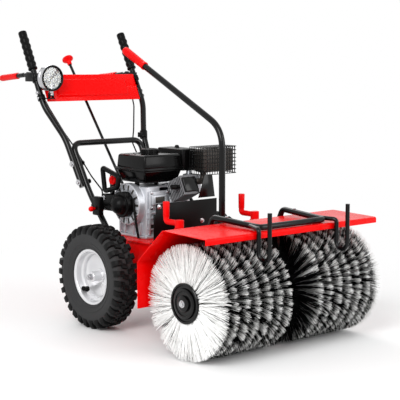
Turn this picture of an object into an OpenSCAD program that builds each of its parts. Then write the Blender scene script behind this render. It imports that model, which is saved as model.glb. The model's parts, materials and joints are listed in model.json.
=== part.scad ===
// Petrol walk-behind power brush sweeper, in millimetres.
// +Z is up, the brush is towards -Y, and +X is the operator's left.
// The origin lies on the ground, under the middle of the machine.

/* [Wheels] */
// Outside diameter of a tyre over its lugs
tyre_od = 410; // [390:1:430]
// Width of a tyre's section
tyre_w = 107; // [98:1:112]
// Height of the tread lugs
lug_h = 9; // [6:0.5:12]
// Lugs in each of a tyre's two rows
lug_count = 30; // [26:1:34]
// Distance between the middles of the two tyres
track = 597; // [585:1:620]
// Diameter of a rim over its flanges
rim_d = 222; // [214:1:228]
// Width of a rim over its flanges
rim_w = 73; // [68:1:80]
// Diameter of the axle shaft
axle_d = 25; // [20:1:30]

/* [Brush] */
// Diameter of the brush over its bristles
brush_d = 416; // [400:1:424]
// Length of the brush over both halves
brush_length = 806; // [760:1:830]
// Gap between the two halves of the brush
brush_gap = 80; // [76:1:110]
// Diameter of the brush core
core_d = 140; // [120:1:160]
// Distance of the brush axis ahead of the axle
brush_ahead = 649; // [645:1:680]
// Height of the bristle tips above the ground
brush_float = 2; // [1:0.5:6]
// Rows of tufts along each half of the brush
tuft_rows = 9; // [6:1:9]
// Tufts around each row
tufts_around = 25; // [18:1:26]
// Diameter of one tuft
tuft_d = 8; // [5:0.5:9]
// Diameter of the brush shaft
brush_shaft_d = 30; // [26:1:34]
// Diameter of the domed end plates
end_plate_d = 145; // [130:1:160]

/* [Hood] */
// Width of the hood
hood_w = 876; // [870:1:920]
// Thickness of the hood's sheet
hood_t = 3; // [2:0.5:4]
// Distance of the hood's front edge ahead of the brush axis
hood_front = 145; // [140:1:160]
// Height of the hood's front edge
hood_front_z = 454; // [450:1:470]
// Depth of the front lip
hood_lip = 22; // [15:1:25]
// Distance of the rear ridge behind the brush axis
hood_ridge = 81; // [70:1:95]
// Height of the rear ridge
hood_ridge_z = 461; // [456:1:475]
// Distance of the rear panel behind the brush axis
hood_rear = 224; // [222:1:235]
// Height where the rear panel bends forward
hood_bend_z = 332; // [325:1:345]
// Height of the rear panel's lower edge
hood_low_z = 161; // [150:1:175]

/* [Chassis] */
// Width of the chassis over its side plates
chassis_w = 300; // [290:1:306]
// Thickness of the chassis plates
chassis_t = 5; // [4:0.5:6]
// Height of the chassis top
chassis_top = 337; // [332:1:345]
// Height of the lower edge of the side plates
chassis_low = 150; // [130:1:165]
// Reach of the chassis ahead of the axle
chassis_front = 250; // [240:1:255]
// Reach of the chassis behind the axle
chassis_back = 150; // [145:1:165]
// Distance of the swing pivot ahead of the axle
pivot_ahead = 330; // [325:1:335]
// Diameter of the swing pins
swing_pin_d = 20; // [16:1:24]
// Width of the guard plate in front of the engine
guard_w = 330; // [310:1:350]
// Height of the guard plate's top
guard_top = 495; // [480:1:510]
// Distance of the guard plate ahead of the axle
guard_ahead = 187; // [185:1:200]

/* [Engine] */
// Distance of the crankshaft behind the axle
crank_back = 38; // [34:1:42]
// Height of the crankshaft
crank_z = 472; // [468:1:478]
// Diameter of the crankshaft
crank_d = 24; // [20:1:28]
// Width of the fuel tank across the machine
tank_w = 200; // [180:1:203]
// Length of the fuel tank along the machine
tank_l = 185; // [175:1:190]
// Height of the fuel tank
tank_h = 113; // [105:1:130]
// Diameter of the fuel cap
fuel_cap_d = 74; // [66:1:80]
// Diameter of the fan housing on the crankcase
fan_d = 170; // [160:1:172]
// Diameter of the recoil cover
recoil_d = 104; // [98:1:112]
// Diameter of the recoil cover's dome
dome_d = 80; // [74:1:88]
// Height of the pull handle's loop
pull_loop_h = 116; // [110:1:124]
// Thickness of the pull handle's loop
pull_loop_t = 20; // [16:1:22]
// Width of the muffler guard
muffler_w = 181; // [170:1:190]
// Depth of the muffler guard
muffler_l = 96; // [86:1:98]
// Height of the muffler guard
muffler_h = 113; // [104:1:120]
// Cooling fins on the cylinder
fin_count = 7; // [5:1:8]

/* [Handles] */
// Diameter of the handle tubes
tube_d = 25; // [22:1:26]
// Diameter of the hand grips
grip_d = 36; // [32:1:37]
// Height of the top of the hand grips
handle_top = 1168; // [1150:1:1190]
// Half the distance between the hand grips
grip_x = 261; // [258:1:264]
// Distance of the grips' tops behind the axle
grip_back = 570; // [560:1:580]
// Height of the lower handle's cross bar
bar_z = 705; // [700:1:715]
// Distance of the cross bar behind the axle
bar_back = 329; // [326:1:333]
// Half the distance between the lower handle's upper corners
bar_x = 181; // [179:1:184]
// Width of the control panel
panel_w = 492; // [480:1:498]
// Thickness of the panel's sheet
panel_t = 2.5; // [2:0.5:3]

/* [Controls] */
// Diameter of the clutch lever tubes
lever_d = 20; // [16:1:22]
// Diameter of the clutch levers' red grips
lever_grip_d = 28; // [24:1:30]
// Length of a clutch lever from its pivot
lever_len = 218; // [190:1:240]
// Diameter of the gear lever
gear_rod_d = 12; // [10:1:14]
// Diameter of the gear lever's knob
knob_d = 46; // [40:1:50]
// Diameter of the headlight
lamp_d = 110; // [100:1:112]
// Depth of the headlight
lamp_depth = 50; // [46:1:52]
// Diameter of the swing lever's red grip
swing_grip_d = 32; // [29:1:36]
// Diameter of the control cables
cable_d = 6; // [5:0.5:8]

/* [Castors] */
// Half the distance between the two castors
castor_x = 196; // [190:1:205]
// Distance of the castor axis behind the hood's rear panel
castor_back = 49; // [46:1:54]
// Diameter of a castor wheel
castor_d = 90; // [80:1:90]
// Width of a castor wheel
castor_w = 28; // [24:1:32]
// Trail of a castor wheel behind its swivel axis
castor_trail = 30; // [24:1:32]
// Diameter of a castor leg
leg_d = 30; // [26:1:32]
// Length of a height crank's arm
crank_arm = 76; // [65:1:80]
// Diameter of a height crank's bar
crank_bar_d = 22; // [18:1:22]

/* [Container hooks] */
// Diameter of the hook rods
hook_d = 16; // [14:1:18]
// Diameter of the container frame's tube
frame_tube_d = 22; // [18:1:22]
// Half the distance between the two hooks
hook_x = 200; // [190:1:210]
// Distance between a hook's leg and its rod
hook_span = 53; // [48:1:56]
// Height of the top of the hook rods
hook_top = 529; // [515:1:545]
// Height of the bottom of the hooks
hook_low = 352; // [345:1:360]

/* [Fits] */
// Radial clearance of a shaft in its bearing
run_gap = 0.05; // [0.02:0.01:0.09]
// Gap between faces that move past each other
rest_gap = 0.3; // [0.3:0.05:0.6]
// Gap between seated pieces
seat_gap = 0.1; // [0.05:0.05:0.3]

/* [Hidden] */
$fn = 72;

// Overrun of every cut past the face that it opens
overrun = 1;
// Paint and material colours
red = "#d8141a";
black = "#1d1e20";
silver = "#b9bcc0";
rubber = "#2a2b2d";
bristle = "#d9d9d6";

// Layout of the whole machine
tyre_r = tyre_od / 2;
lug_width_share = 0.55;
lug_half_angle = 180 / lug_count * lug_width_share;
axle_z = tyre_r * cos(lug_half_angle);
brush_r = brush_d / 2;
brush_z = brush_r + brush_float;
hook_r = hook_d / 2;
hook_clear = 2;
hook_leg_ahead = brush_ahead + hood_front + hook_clear + hook_r;
lever_grip_r = lever_grip_d / 2;
lever_pivot_back = 523;
lever_pivot_z = 990;
lever_droop = 5;
front_reach = hook_leg_ahead + hook_span + hook_r;
lever_chamfer = 4;
rear_reach = lever_pivot_back + lever_len * cos(lever_droop)
    + (lever_grip_r - lever_chamfer) * sin(lever_droop);
axle_y = (front_reach - rear_reach) / 2;
brush_y = axle_y - brush_ahead;
pivot_y = axle_y - pivot_ahead;
crank_y = axle_y + crank_back;
block_behind = 78;
base_over = 12;

// Boxes, rods and turned shapes
module block(low, high) { translate(low) cube(high - low); }
module x_rod(r, x0, x1) { translate([x0, 0, 0]) rotate([0, 90, 0]) cylinder(r = r, h = x1 - x0); }
module y_rod(r, y0, y1) { translate([0, y0, 0]) rotate([-90, 0, 0]) cylinder(r = r, h = y1 - y0); }
module z_rod(r, z0, z1) { translate([0, 0, z0]) cylinder(r = r, h = z1 - z0); }
module rod(p, q, r) {
    v = q - p;
    translate(p) rotate([0, acos(v[2] / norm(v)), atan2(v[1], v[0])]) cylinder(r = r, h = norm(v));
}
module turned_y() { rotate([-90, 0, 0]) rotate_extrude() children(); }
module turned_x() { rotate([0, 90, 0]) rotate_extrude() children(); }
module both_sides() {
    children();
    mirror([1, 0, 0]) children();
}
module rounded_plate(w, l, r) {
    translate([r, 0]) square([w - 2 * r, l]);
    translate([0, r]) square([w, l - 2 * r]);
    for (x = [r, w - r]) for (y = [r, l - r]) translate([x, y]) circle(r);
}

// Bent tubes: rounded corners along a list of points, swept with a many-sided section
function unit(v) = v / norm(v);
function towards(a, b, d) = a + unit(b - a) * d;
function curve_point(a, c, b, s) = a * (1 - s) * (1 - s) + c * 2 * s * (1 - s) + b * s * s;
function bent_path(p, bend, steps) = [p[0], for (i = [1:len(p) - 2]) for (k = [0:steps])
    curve_point(towards(p[i], p[i - 1], bend), p[i], towards(p[i], p[i + 1], bend), k / steps),
    p[len(p) - 1]];
function tangents(p) = [for (i = [0:len(p) - 1]) unit(p[min(i + 1, len(p) - 1)] - p[max(i - 1, 0)])];
function square_to(u, t) = unit(u - t * (u * t));
function side_dirs(t, side) = [for (i = 0, u = square_to(side, t[0]); i < len(t);
    u = square_to(u, t[min(i + 1, len(t) - 1)]), i = i + 1) u];
function tube_faces(n, m) = concat([[for (k = [0:m - 1]) k]],
    [for (i = [0:n - 2]) for (k = [0:m - 1]) [i * m + k, (i + 1) * m + (k + 1) % m, i * m + (k + 1) % m]],
    [for (i = [0:n - 2]) for (k = [0:m - 1]) [i * m + k, (i + 1) * m + k, (i + 1) * m + (k + 1) % m]],
    [[for (k = [m - 1:-1:0]) (n - 1) * m + k]]);
module swept_tube(path, r, sides, side = [1, 0, 0]) {
    t = tangents(path);
    u = side_dirs(t, side);
    points = [for (i = [0:len(path) - 1]) for (k = [0:sides - 1])
        path[i] + r * (cos(360 * k / sides) * u[i] + sin(360 * k / sides) * cross(t[i], u[i]))];
    polyhedron(points, tube_faces(len(path), sides), convexity = 4);
}
tube_sides = 16;
bend_steps = 6;

// Chassis, swing pivot and the gearbox under the engine
chassis_x = chassis_w / 2;
flange_w = 12;
flange_back = 10;
front_low = 190;
shaft_z = 260;
shaft_d = 20;
shaft_r = shaft_d / 2;
shaft_opening_d = 70;
fork_t = 8;
fork_x = 30;
fork_boss_r = 40;
fork_upper_z = 296;
fork_lower_z = 216;
pin_r = swing_pin_d / 2;
bearing_r = 35;
bearing_w = 22;
bearing_plate = 80;
bearing_plate_t = 5;
bearing_open_gap = 6;
axle_r = axle_d / 2;
case_x = 60;
case_wall = 10;
case_front = 140;
case_back = 70;
case_low = 120;
case_top = chassis_top - chassis_t;
input_ahead = 105;
input_z = 292;
input_shaft_d = 16;
input_r = input_shaft_d / 2;
gear_ear_x = 30;
gear_ear_gap = 8;
gear_ear_t = 4;
gear_ear_l = 18;
gear_ear_clear = 1;
gear_pivot_back = crank_back + block_behind + base_over + gear_ear_clear + gear_ear_l / 2;
gear_pivot_rise = 25;
gear_pin_d = 8;
gear_pin_r = gear_pin_d / 2;
gear_pivot = [gear_ear_x, axle_y + gear_pivot_back, chassis_top + gear_pivot_rise];
gear_ear_top = 12;

module chassis_frame() {
    color(red) difference() {
        union() {
            both_sides() {
                block([chassis_x - chassis_t, axle_y - chassis_front, chassis_low],
                    [chassis_x, axle_y + chassis_back, chassis_top]);
                block([chassis_x - chassis_t, axle_y - chassis_front, chassis_top - chassis_t],
                    [chassis_x + flange_w, axle_y - flange_back, chassis_top]);
            }
            block([-chassis_x, axle_y - chassis_front, chassis_top - chassis_t],
                [chassis_x, axle_y + chassis_back, chassis_top]);
            block([-chassis_x, axle_y - chassis_front, front_low],
                [chassis_x, axle_y - chassis_front + chassis_t, chassis_top]);
            block([-chassis_x, axle_y + chassis_back - chassis_t, front_low],
                [chassis_x, axle_y + chassis_back, chassis_top]);
            for (z = [fork_lower_z, fork_upper_z]) {
                block([-fork_x, pivot_y, z], [fork_x, axle_y - chassis_front + chassis_t, z + fork_t]);
                translate([0, pivot_y, 0]) z_rod(fork_boss_r, z, z + fork_t);
            }
            for (x = [gear_ear_x - gear_ear_gap - gear_ear_t, gear_ear_x + gear_ear_gap])
                block([x, gear_pivot[1] - gear_ear_l / 2, chassis_top - chassis_t],
                    [x + gear_ear_t, gear_pivot[1] + gear_ear_l / 2, gear_pivot[2] + gear_ear_top]);
            translate([0, gear_pivot[1], gear_pivot[2]]) x_rod(gear_pin_r,
                gear_ear_x - gear_ear_gap - gear_ear_t, gear_ear_x + gear_ear_gap + gear_ear_t);
        }
        translate([0, axle_y, axle_z]) x_rod(axle_r + bearing_open_gap, -chassis_x - overrun,
            chassis_x + overrun);
        translate([0, axle_y - chassis_front, shaft_z]) y_rod(shaft_opening_d / 2, -overrun,
            chassis_t + overrun);
        translate([0, pivot_y, 0]) z_rod(pin_r + run_gap, fork_lower_z - overrun,
            fork_upper_z + fork_t + overrun);
        translate([0, axle_y - input_ahead, input_z]) x_rod(input_r + bearing_open_gap, case_x,
            chassis_x + overrun);
    }
}

guard_t = 3;
guard_foot = 25;
guard_step_w = 12;
guard_step_h = 40;
guard_y = axle_y - guard_ahead;

module engine_guard() {
    color(black) {
        translate([0, guard_y, 0]) rotate([90, 0, 0]) translate([0, 0, -guard_t]) linear_extrude(guard_t)
            polygon([[-guard_w / 2, chassis_top], [guard_w / 2, chassis_top], [guard_w / 2, guard_top],
                [guard_step_w - guard_w / 2, guard_top],
                [guard_step_w - guard_w / 2, guard_top - guard_step_h],
                [-guard_w / 2, guard_top - guard_step_h]]);
        block([-guard_w / 2, guard_y, chassis_top],
            [guard_w / 2, guard_y + guard_foot, chassis_top + guard_t]);
    }
}

module transmission_case() {
    y0 = axle_y - case_front;
    y1 = axle_y + case_back;
    color(silver) difference() {
        block([-case_x, y0, case_low], [case_x, y1, case_top]);
        block([case_wall - case_x, y0 + case_wall, case_low + case_wall],
            [case_x - case_wall, y1 - case_wall, case_top - case_wall]);
        translate([0, axle_y, axle_z]) x_rod(axle_r + run_gap, -case_x - overrun, case_x + overrun);
        translate([0, y0, shaft_z]) y_rod(shaft_r + run_gap, -overrun, case_wall + overrun);
        translate([0, axle_y - input_ahead, input_z]) x_rod(input_r + run_gap, 0, case_x + overrun);
    }
}

module axle_bearings() {
    color(silver) both_sides() translate([0, axle_y, axle_z]) difference() {
        union() {
            x_rod(bearing_r, chassis_x, chassis_x + bearing_w);
            block([chassis_x, -bearing_plate / 2, -bearing_plate / 2],
                [chassis_x + bearing_plate_t, bearing_plate / 2, bearing_plate / 2]);
        }
        x_rod(axle_r + run_gap, chassis_x - overrun, chassis_x + bearing_w + overrun);
    }
}

ear_t = 10;
ear_upper_z = fork_upper_z + fork_t + rest_gap;
ear_lower_z = fork_lower_z - rest_gap - ear_t;
pin_head_r = 16;
pin_head_h = 6;

module swing_pins() {
    color(silver) translate([0, pivot_y, 0]) {
        z_rod(pin_r, fork_upper_z, ear_upper_z + ear_t + rest_gap);
        z_rod(pin_head_r, ear_upper_z + ear_t + rest_gap, ear_upper_z + ear_t + rest_gap + pin_head_h);
        z_rod(pin_r, ear_lower_z - rest_gap, fork_lower_z + fork_t);
        z_rod(pin_head_r, ear_lower_z - rest_gap - pin_head_h, ear_lower_z - rest_gap);
    }
}

// Handles: the lower U, the two upper tubes and what is clamped to them
tube_r = tube_d / 2;
grip_r = grip_d / 2;
tube_side_gap = 0.2;
leg_x = chassis_x + tube_r + seat_gap;
leg_foot_back = 60;
leg_foot_z = 300;
leg_knee_back = 235;
leg_knee_z = 505;
lower_bend = 38;
bar_y = axle_y + bar_back;
lower_leg = [[leg_x, axle_y + leg_foot_back, leg_foot_z], [leg_x, axle_y + leg_knee_back, leg_knee_z],
    [bar_x, bar_y, bar_z]];
function mirror_x(p) = [-p[0], p[1], p[2]];
function behind_axle(p) = [p[0], axle_y + p[1], p[2]];

module lower_handle() {
    path = concat(lower_leg, [for (i = [len(lower_leg) - 1:-1:0]) mirror_x(lower_leg[i])]);
    color(black) swept_tube(bent_path(path, lower_bend, bend_steps), tube_r, tube_sides);
}

// A point on the lower handle's upper leg, at a share of the way from knee to corner
function leg_point(s) = lower_leg[1] + (lower_leg[2] - lower_leg[1]) * s;
beside_leg = [tube_d + tube_side_gap, 0, 0];
clamp_low_share = 0.12;
clamp_high_share = 1.1;
bolt_shares = [0.22, 0.59];
knee_at = [264, 411, 860];
upper_knee = behind_axle(knee_at);
grip_top = [grip_x, axle_y + grip_back, handle_top];
upper_bend = 30;
tube_stop = 4;
upper_path = [leg_point(clamp_low_share) + beside_leg, leg_point(clamp_high_share) + beside_leg, upper_knee,
    towards(grip_top, upper_knee, tube_stop)];
grip_len = 178;

module upper_handles() {
    color(black) both_sides() swept_tube(bent_path(upper_path, upper_bend, bend_steps), tube_r, tube_sides);
}

grip_end_t = 3;
bump_count = 4;
bump_over = 2;
bump_pitch_share = 0.16;
bump_first_share = 0.14;
bump_len_share = 0.07;
module handle_grips() {
    base = towards(grip_top, upper_knee, grip_len);
    color(black) both_sides() difference() {
        union() {
            rod(base, grip_top, grip_r);
            for (k = [0:bump_count - 1]) {
                start = (bump_first_share + k * bump_pitch_share) * grip_len;
                rod(towards(base, grip_top, start),
                    towards(base, grip_top, start + bump_len_share * grip_len),
                    grip_r + bump_over);
            }
        }
        rod(towards(base, upper_knee, overrun), towards(grip_top, upper_knee, grip_end_t), tube_r + seat_gap);
    }
}

bolt_head_r = 8;
bolt_head_h = 6;
washer_r = 13;
washer_t = 2;
guard_bolt_shares = [[-0.42, 0.08], [0.255, 0.54]];
module frame_bolts() {
    color(silver) {
        both_sides() for (s = bolt_shares) {
            out = square_to([1, 0, 0], unit(lower_leg[2] - lower_leg[1]));
            seat = leg_point(s) + beside_leg + out * (tube_r + seat_gap);
            rod(seat, seat + out * washer_t, washer_r);
            rod(seat + out * (washer_t - seat_gap), seat + out * (washer_t + bolt_head_h), bolt_head_r);
        }
        for (s = guard_bolt_shares)
            translate([guard_w * s[0], guard_y, guard_top - (guard_top - chassis_top) * s[1]])
                y_rod(bolt_head_r, -bolt_head_h, 0);
    }
}

// Control panel: a bent sheet with a gate for the gear lever
panel_low = [408, 878];
panel_fold = [458, 988];
panel_rear = [600, 986];
gear_swing = 3;
gate_x = 32;
gate_side_gap = 3;
gate_end_gap = 3;
gate_rim = 14;
gear_rod_r = gear_rod_d / 2;
knob_r = knob_d / 2;
knob_back = 651;
knob_z = 1050;
gear_top = [gear_ear_x, axle_y + knob_back, knob_z];
gear_dir = unit(gear_top - gear_pivot);
gate_z = panel_rear[1];
gate_mid = gear_pivot[1] + (gate_z - gear_pivot[2]) * gear_dir[1] / gear_dir[2];
gate_half = norm([gate_mid - gear_pivot[1], gate_z - gear_pivot[2]]) * sin(gear_swing) / gear_dir[2]
    + gear_rod_r / gear_dir[2] + gate_end_gap;
spacer_r = 8;
panel_x = panel_w / 2;
// Sheet outline: a run of points thickened to one side, mitred at the bends
function left_of(a, b) = [-(b - a)[1], (b - a)[0]] / norm(b - a);
function mitre(p, i, t) = i == 0 ? p[0] + t * left_of(p[0], p[1])
    : i == len(p) - 1 ? p[i] + t * left_of(p[i - 1], p[i])
    : let (m = left_of(p[i - 1], p[i]), n = left_of(p[i], p[i + 1])) p[i] + t * (m + n) / (1 + m * n);
function sheet_outline(p, t) = concat(p, [for (i = [len(p) - 1:-1:0]) mitre(p, i, t)]);
module x_sheet(outline, w) {
    translate([-w / 2, 0, 0]) rotate([90, 0, 90]) linear_extrude(w) polygon(outline);
}
function on_axle(p) = [axle_y + p[0], p[1]];
// The upper handle tube's centre at a height between its knee and its grip
function tube_at(z) = upper_knee + (grip_top - upper_knee) * (z - upper_knee[2])
    / (grip_top[2] - upper_knee[2]);

module control_panel() {
    mid = tube_at((panel_low[1] + panel_fold[1]) / 2);
    fold_y = axle_y + panel_fold[0];
    color(red) difference() {
        union() {
            x_sheet(sheet_outline([on_axle(panel_low), on_axle(panel_fold), on_axle(panel_rear)],
                -panel_t), panel_w);
            block([gear_ear_x - gate_x, axle_y + panel_rear[0] - gate_rim, gate_z - panel_t],
                [gear_ear_x + gate_x, gate_mid + gate_half + gate_rim, gate_z]);
            both_sides() {
                block([panel_x - panel_t, mid[1] - spacer_r, mid[2] - spacer_r],
                    [panel_x, mid[1] + spacer_r, mid[2] + spacer_r]);
                block([panel_x - panel_t, fold_y - spacer_r * 3, mid[2] - spacer_r],
                    [panel_x, mid[1] + spacer_r, mid[2] + spacer_r]);
                translate([0, mid[1], mid[2]]) x_rod(spacer_r, panel_x - panel_t, mid[0] - tube_r - seat_gap);
            }
        }
        block([gear_ear_x - gear_rod_r - gate_side_gap, gate_mid - gate_half, gate_z - 2 * spacer_r],
            [gear_ear_x + gear_rod_r + gate_side_gap, gate_mid + gate_half, gate_z + spacer_r]);
    }
}

// Brackets on the handle tubes: two lever clevises and the headlight's arm
clamp_r = 17;
clamp_len = 20;
lever_clamp_z = 968;
lever_pin_d = 8;
lever_pin_r = lever_pin_d / 2;
lever_eye_r = 10;
lever_eye_w = 16;
clevis_gap = 0.5;
clevis_t = 4;
clevis_low = 960;
clevis_top = 995;
clevis_over = 8;
lever_r = lever_d / 2;
lever_pivot = [tube_at(lever_pivot_z)[0], axle_y + lever_pivot_back, lever_pivot_z];
lamp_r = lamp_d / 2;
lamp_x = 237;
lamp_at = [-lamp_x, 396, 907];
lamp_pivot = behind_axle(lamp_at);
lamp_rise = 68;
lamp_z = lamp_pivot[2] + lamp_rise;
lamp_face_ahead = 14;
lamp_face_y = lamp_pivot[1] - lamp_face_ahead;
lamp_ear_gap = 0.5;
lamp_ear_t = 3;
lamp_lug_w = 14;
lamp_lug_r = 8;
lamp_pin_d = 6;
lamp_pin_r = lamp_pin_d / 2;
lamp_arm_z = 893;
lamp_arm_t = 4;
lamp_arm_l = 22;

module tube_clamp(z, len) {
    c = tube_at(z);
    rod(towards(c, upper_knee, len / 2), towards(c, grip_top, len / 2), clamp_r);
}
module tube_bore(z, len) {
    c = tube_at(z);
    rod(towards(c, upper_knee, len), towards(c, grip_top, len), tube_r + seat_gap);
}

module handle_brackets() {
    c = tube_at(lever_clamp_z);
    color(black) {
        both_sides() {
            difference() {
                union() {
                    tube_clamp(lever_clamp_z, clamp_len);
                    for (side = [-1, 1]) {
                        x = lever_pivot[0] + side * (lever_eye_w / 2 + clevis_gap + clevis_t / 2);
                        block([x - clevis_t / 2, c[1], clevis_low],
                            [x + clevis_t / 2, lever_pivot[1] + clevis_over, clevis_top]);
                    }
                    translate([0, lever_pivot[1], lever_pivot[2]]) x_rod(lever_pin_r,
                        lever_pivot[0] - lever_eye_w / 2 - clevis_gap - clevis_t,
                        lever_pivot[0] + lever_eye_w / 2 + clevis_gap + clevis_t);
                }
                tube_bore(lever_clamp_z, clevis_top - clevis_low);
            }
        }
        difference() {
            union() {
                mirror([1, 0, 0]) tube_clamp(lamp_arm_z, clamp_len);
                block([-tube_at(lamp_arm_z)[0], lamp_pivot[1] - lamp_arm_l / 2, lamp_arm_z - lamp_arm_t],
                    [lamp_pivot[0] + lamp_lug_w, lamp_pivot[1] + lamp_lug_r, lamp_arm_z]);
                block([-tube_at(lamp_arm_z)[0], lamp_pivot[1], lamp_arm_z - lamp_arm_t],
                    [tube_r - tube_at(lamp_arm_z)[0], tube_at(lamp_arm_z)[1], lamp_arm_z]);
                for (side = [-1, 1]) {
                    x = lamp_pivot[0] + side * (lamp_lug_w / 2 + lamp_ear_gap + lamp_ear_t / 2);
                    block([x - lamp_ear_t / 2, lamp_pivot[1] - lamp_lug_r, lamp_arm_z - lamp_arm_t],
                        [x + lamp_ear_t / 2, lamp_pivot[1] + lamp_lug_r, lamp_pivot[2] + lamp_pin_d]);
                }
                translate([0, lamp_pivot[1], lamp_pivot[2]]) x_rod(lamp_pin_r,
                    lamp_pivot[0] - lamp_lug_w / 2 - lamp_ear_gap - lamp_ear_t,
                    lamp_pivot[0] + lamp_lug_w / 2 + lamp_ear_gap + lamp_ear_t);
            }
            mirror([1, 0, 0]) tube_bore(lamp_arm_z, clamp_len);
        }
    }
}

module clutch_lever() {
    translate(lever_pivot) rotate([-lever_droop, 0, 0]) difference() {
        union() {
            x_rod(lever_eye_r, -lever_eye_w / 2, lever_eye_w / 2);
            turned_y() polygon([[0, 0], [lever_neck_r, 0], [lever_neck_r, lever_len * lever_neck_share],
                [lever_r, lever_len * lever_neck_share], [lever_r, lever_len * lever_bare_share],
                [lever_grip_r, lever_len * lever_bare_share], [lever_grip_r, lever_len - lever_chamfer],
                [lever_grip_r - lever_chamfer, lever_len], [0, lever_len]]);
        }
        x_rod(lever_pin_r + run_gap, -lever_eye_w, lever_eye_w);
    }
}
lever_bare_share = 0.38;
lever_neck_share = 0.16;
lever_neck_r = 7;
module right_clutch_lever() { color(red) mirror([1, 0, 0]) clutch_lever(); }
module left_clutch_lever() { color(red) clutch_lever(); }

gear_eye_r = 9;
gear_eye_gap = 0.5;
module gear_lever() {
    eye_x = gear_ear_gap - gear_eye_gap;
    color(black) difference() {
        union() {
            translate(gear_pivot) x_rod(gear_eye_r, -eye_x, eye_x);
            rod(gear_pivot, gear_top, gear_rod_r);
            translate(gear_top) sphere(knob_r);
        }
        translate(gear_pivot) x_rod(gear_pin_r + run_gap, -gear_ear_gap, gear_ear_gap);
    }
}

// Headlight: a turned shell on a lug, with its lens let into the front
lamp_wall = 3;
lamp_back_share = 0.3;
lamp_straight_share = 0.7;
lens_t = 5;
lens_inset = 2;
module headlight() {
    inner = lamp_r - lamp_wall;
    color(silver) difference() {
        union() {
            translate([lamp_pivot[0], lamp_face_y, lamp_z]) turned_y() polygon([[0, 0], [lamp_r, 0],
                [lamp_r, lamp_depth * lamp_straight_share],
                [lamp_r * lamp_back_share, lamp_depth], [0, lamp_depth]]);
            block([lamp_pivot[0] - lamp_lug_w / 2, lamp_pivot[1] - lamp_lug_r, lamp_pivot[2]],
                [lamp_pivot[0] + lamp_lug_w / 2, lamp_pivot[1] + lamp_lug_r,
                    lamp_z - lamp_r * lamp_back_share]);
            translate(lamp_pivot) x_rod(lamp_lug_r, -lamp_lug_w / 2, lamp_lug_w / 2);
        }
        translate([lamp_pivot[0], lamp_face_y, lamp_z]) turned_y() polygon([[0, -overrun], [inner, -overrun],
            [inner, lamp_depth * lamp_straight_share - lamp_wall],
            [lamp_r * lamp_back_share - lamp_wall, lamp_depth - lamp_wall], [0, lamp_depth - lamp_wall]]);
        translate(lamp_pivot) x_rod(lamp_pin_r + run_gap, -lamp_lug_w, lamp_lug_w);
    }
}
module lamp_lens() {
    color("white") translate([lamp_pivot[0], lamp_face_y, lamp_z])
        y_rod(lamp_r - lamp_wall - seat_gap, lens_inset, lens_inset + lens_t);
}

// Engine block: crankcase, inclined cylinder, tank, exhaust and intake
crank_r = crank_d / 2;
block_right = 95;
block_left = 112;
block_ahead = 92;
block_wall = 8;
block_top = 545;
base_t = 12;
boss_r = 60;
boss_t = 8;
fan_r = fan_d / 2;
fan_depth = 30;
fan_wall = 3;
fan_opening_r = 46;
cyl_x = 65;
cyl_lean = 25;
deck = 100;
deck_w = 90;
deck_h = 90;
barrel_r = 38;
fin_w = 82;
fin_t = 3;
fin_pitch = 8;
barrel_len = 62;
head_w = 86;
head_h = 84;
head_t = 24;
rocker_w = 70;
rocker_h = 62;
rocker_t = 14;
bore_r = 30;
oil_cap_r = 14;
oil_cap_h = 16;

module along_cylinder() {
    translate([cyl_x, crank_y, crank_z]) rotate([-cyl_lean, 0, 0]) rotate([90, 0, 0]) children();
}
module cyl_block(w, h, from, to) { block([-w / 2, -h / 2, from], [w / 2, h / 2, to]); }

module crankcase() {
    color(silver) difference() {
        union() {
            block([-block_right, crank_y - block_ahead, chassis_top],
                [block_left, crank_y + block_behind, block_top]);
            block([-block_right - base_over, crank_y - block_ahead - base_over, chassis_top],
                [block_left + base_over, crank_y + block_behind + base_over, chassis_top + base_t]);
            along_cylinder() cyl_block(deck_w, deck_h, 0, deck);
            translate([0, crank_y, crank_z]) {
                x_rod(boss_r, block_left - overrun, block_left + boss_t);
                x_rod(fan_r, -block_right - fan_depth, -block_right + overrun);
            }
            translate([0, crank_y + block_behind - overrun, chassis_top + base_t + oil_cap_r * 2])
                y_rod(oil_cap_r, 0, oil_cap_h);
        }
        block([block_wall - block_right, crank_y - block_ahead + block_wall, chassis_top + base_t],
            [block_left - block_wall, crank_y + block_behind - block_wall, block_top - block_wall]);
        along_cylinder() z_rod(bore_r, 0, deck + overrun);
        along_cylinder() cyl_block(deck_w * 2, deck_h * 2, deck, deck * 2);
        translate([0, crank_y, crank_z]) {
            x_rod(crank_r + run_gap, -block_right - overrun, block_left + boss_t + overrun);
            x_rod(fan_r - fan_wall, -block_right - fan_depth + fan_wall, -block_right);
            x_rod(fan_opening_r, -block_right - fan_depth - overrun, -block_right);
        }
    }
}

module cylinder_block() {
    head_from = deck + barrel_len;
    rocker_from = head_from + head_t;
    color(silver) difference() {
        along_cylinder() {
            z_rod(barrel_r, deck, head_from + overrun);
            for (k = [0:fin_count - 1])
                cyl_block(fin_w, fin_w, deck + k * fin_pitch, deck + k * fin_pitch + fin_t);
            cyl_block(head_w, head_h, head_from, rocker_from);
            cyl_block(rocker_w, rocker_h, rocker_from - overrun, rocker_from + rocker_t);
        }
        along_cylinder() z_rod(bore_r, deck - overrun, head_from);
    }
}

// Spark plug and its rubber cap, on the near side of the head
plug_r = 8;
plug_len = 18;
plug_cap_r = 10;
plug_cap_len = 24;
module spark_plug() {
    color(black) along_cylinder() translate([-head_w / 2, 0, deck + barrel_len + head_t / 2]) {
        x_rod(plug_r, -plug_len, 0);
        x_rod(plug_cap_r, -plug_len - plug_cap_len, -plug_len + overrun);
    }
}

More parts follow.
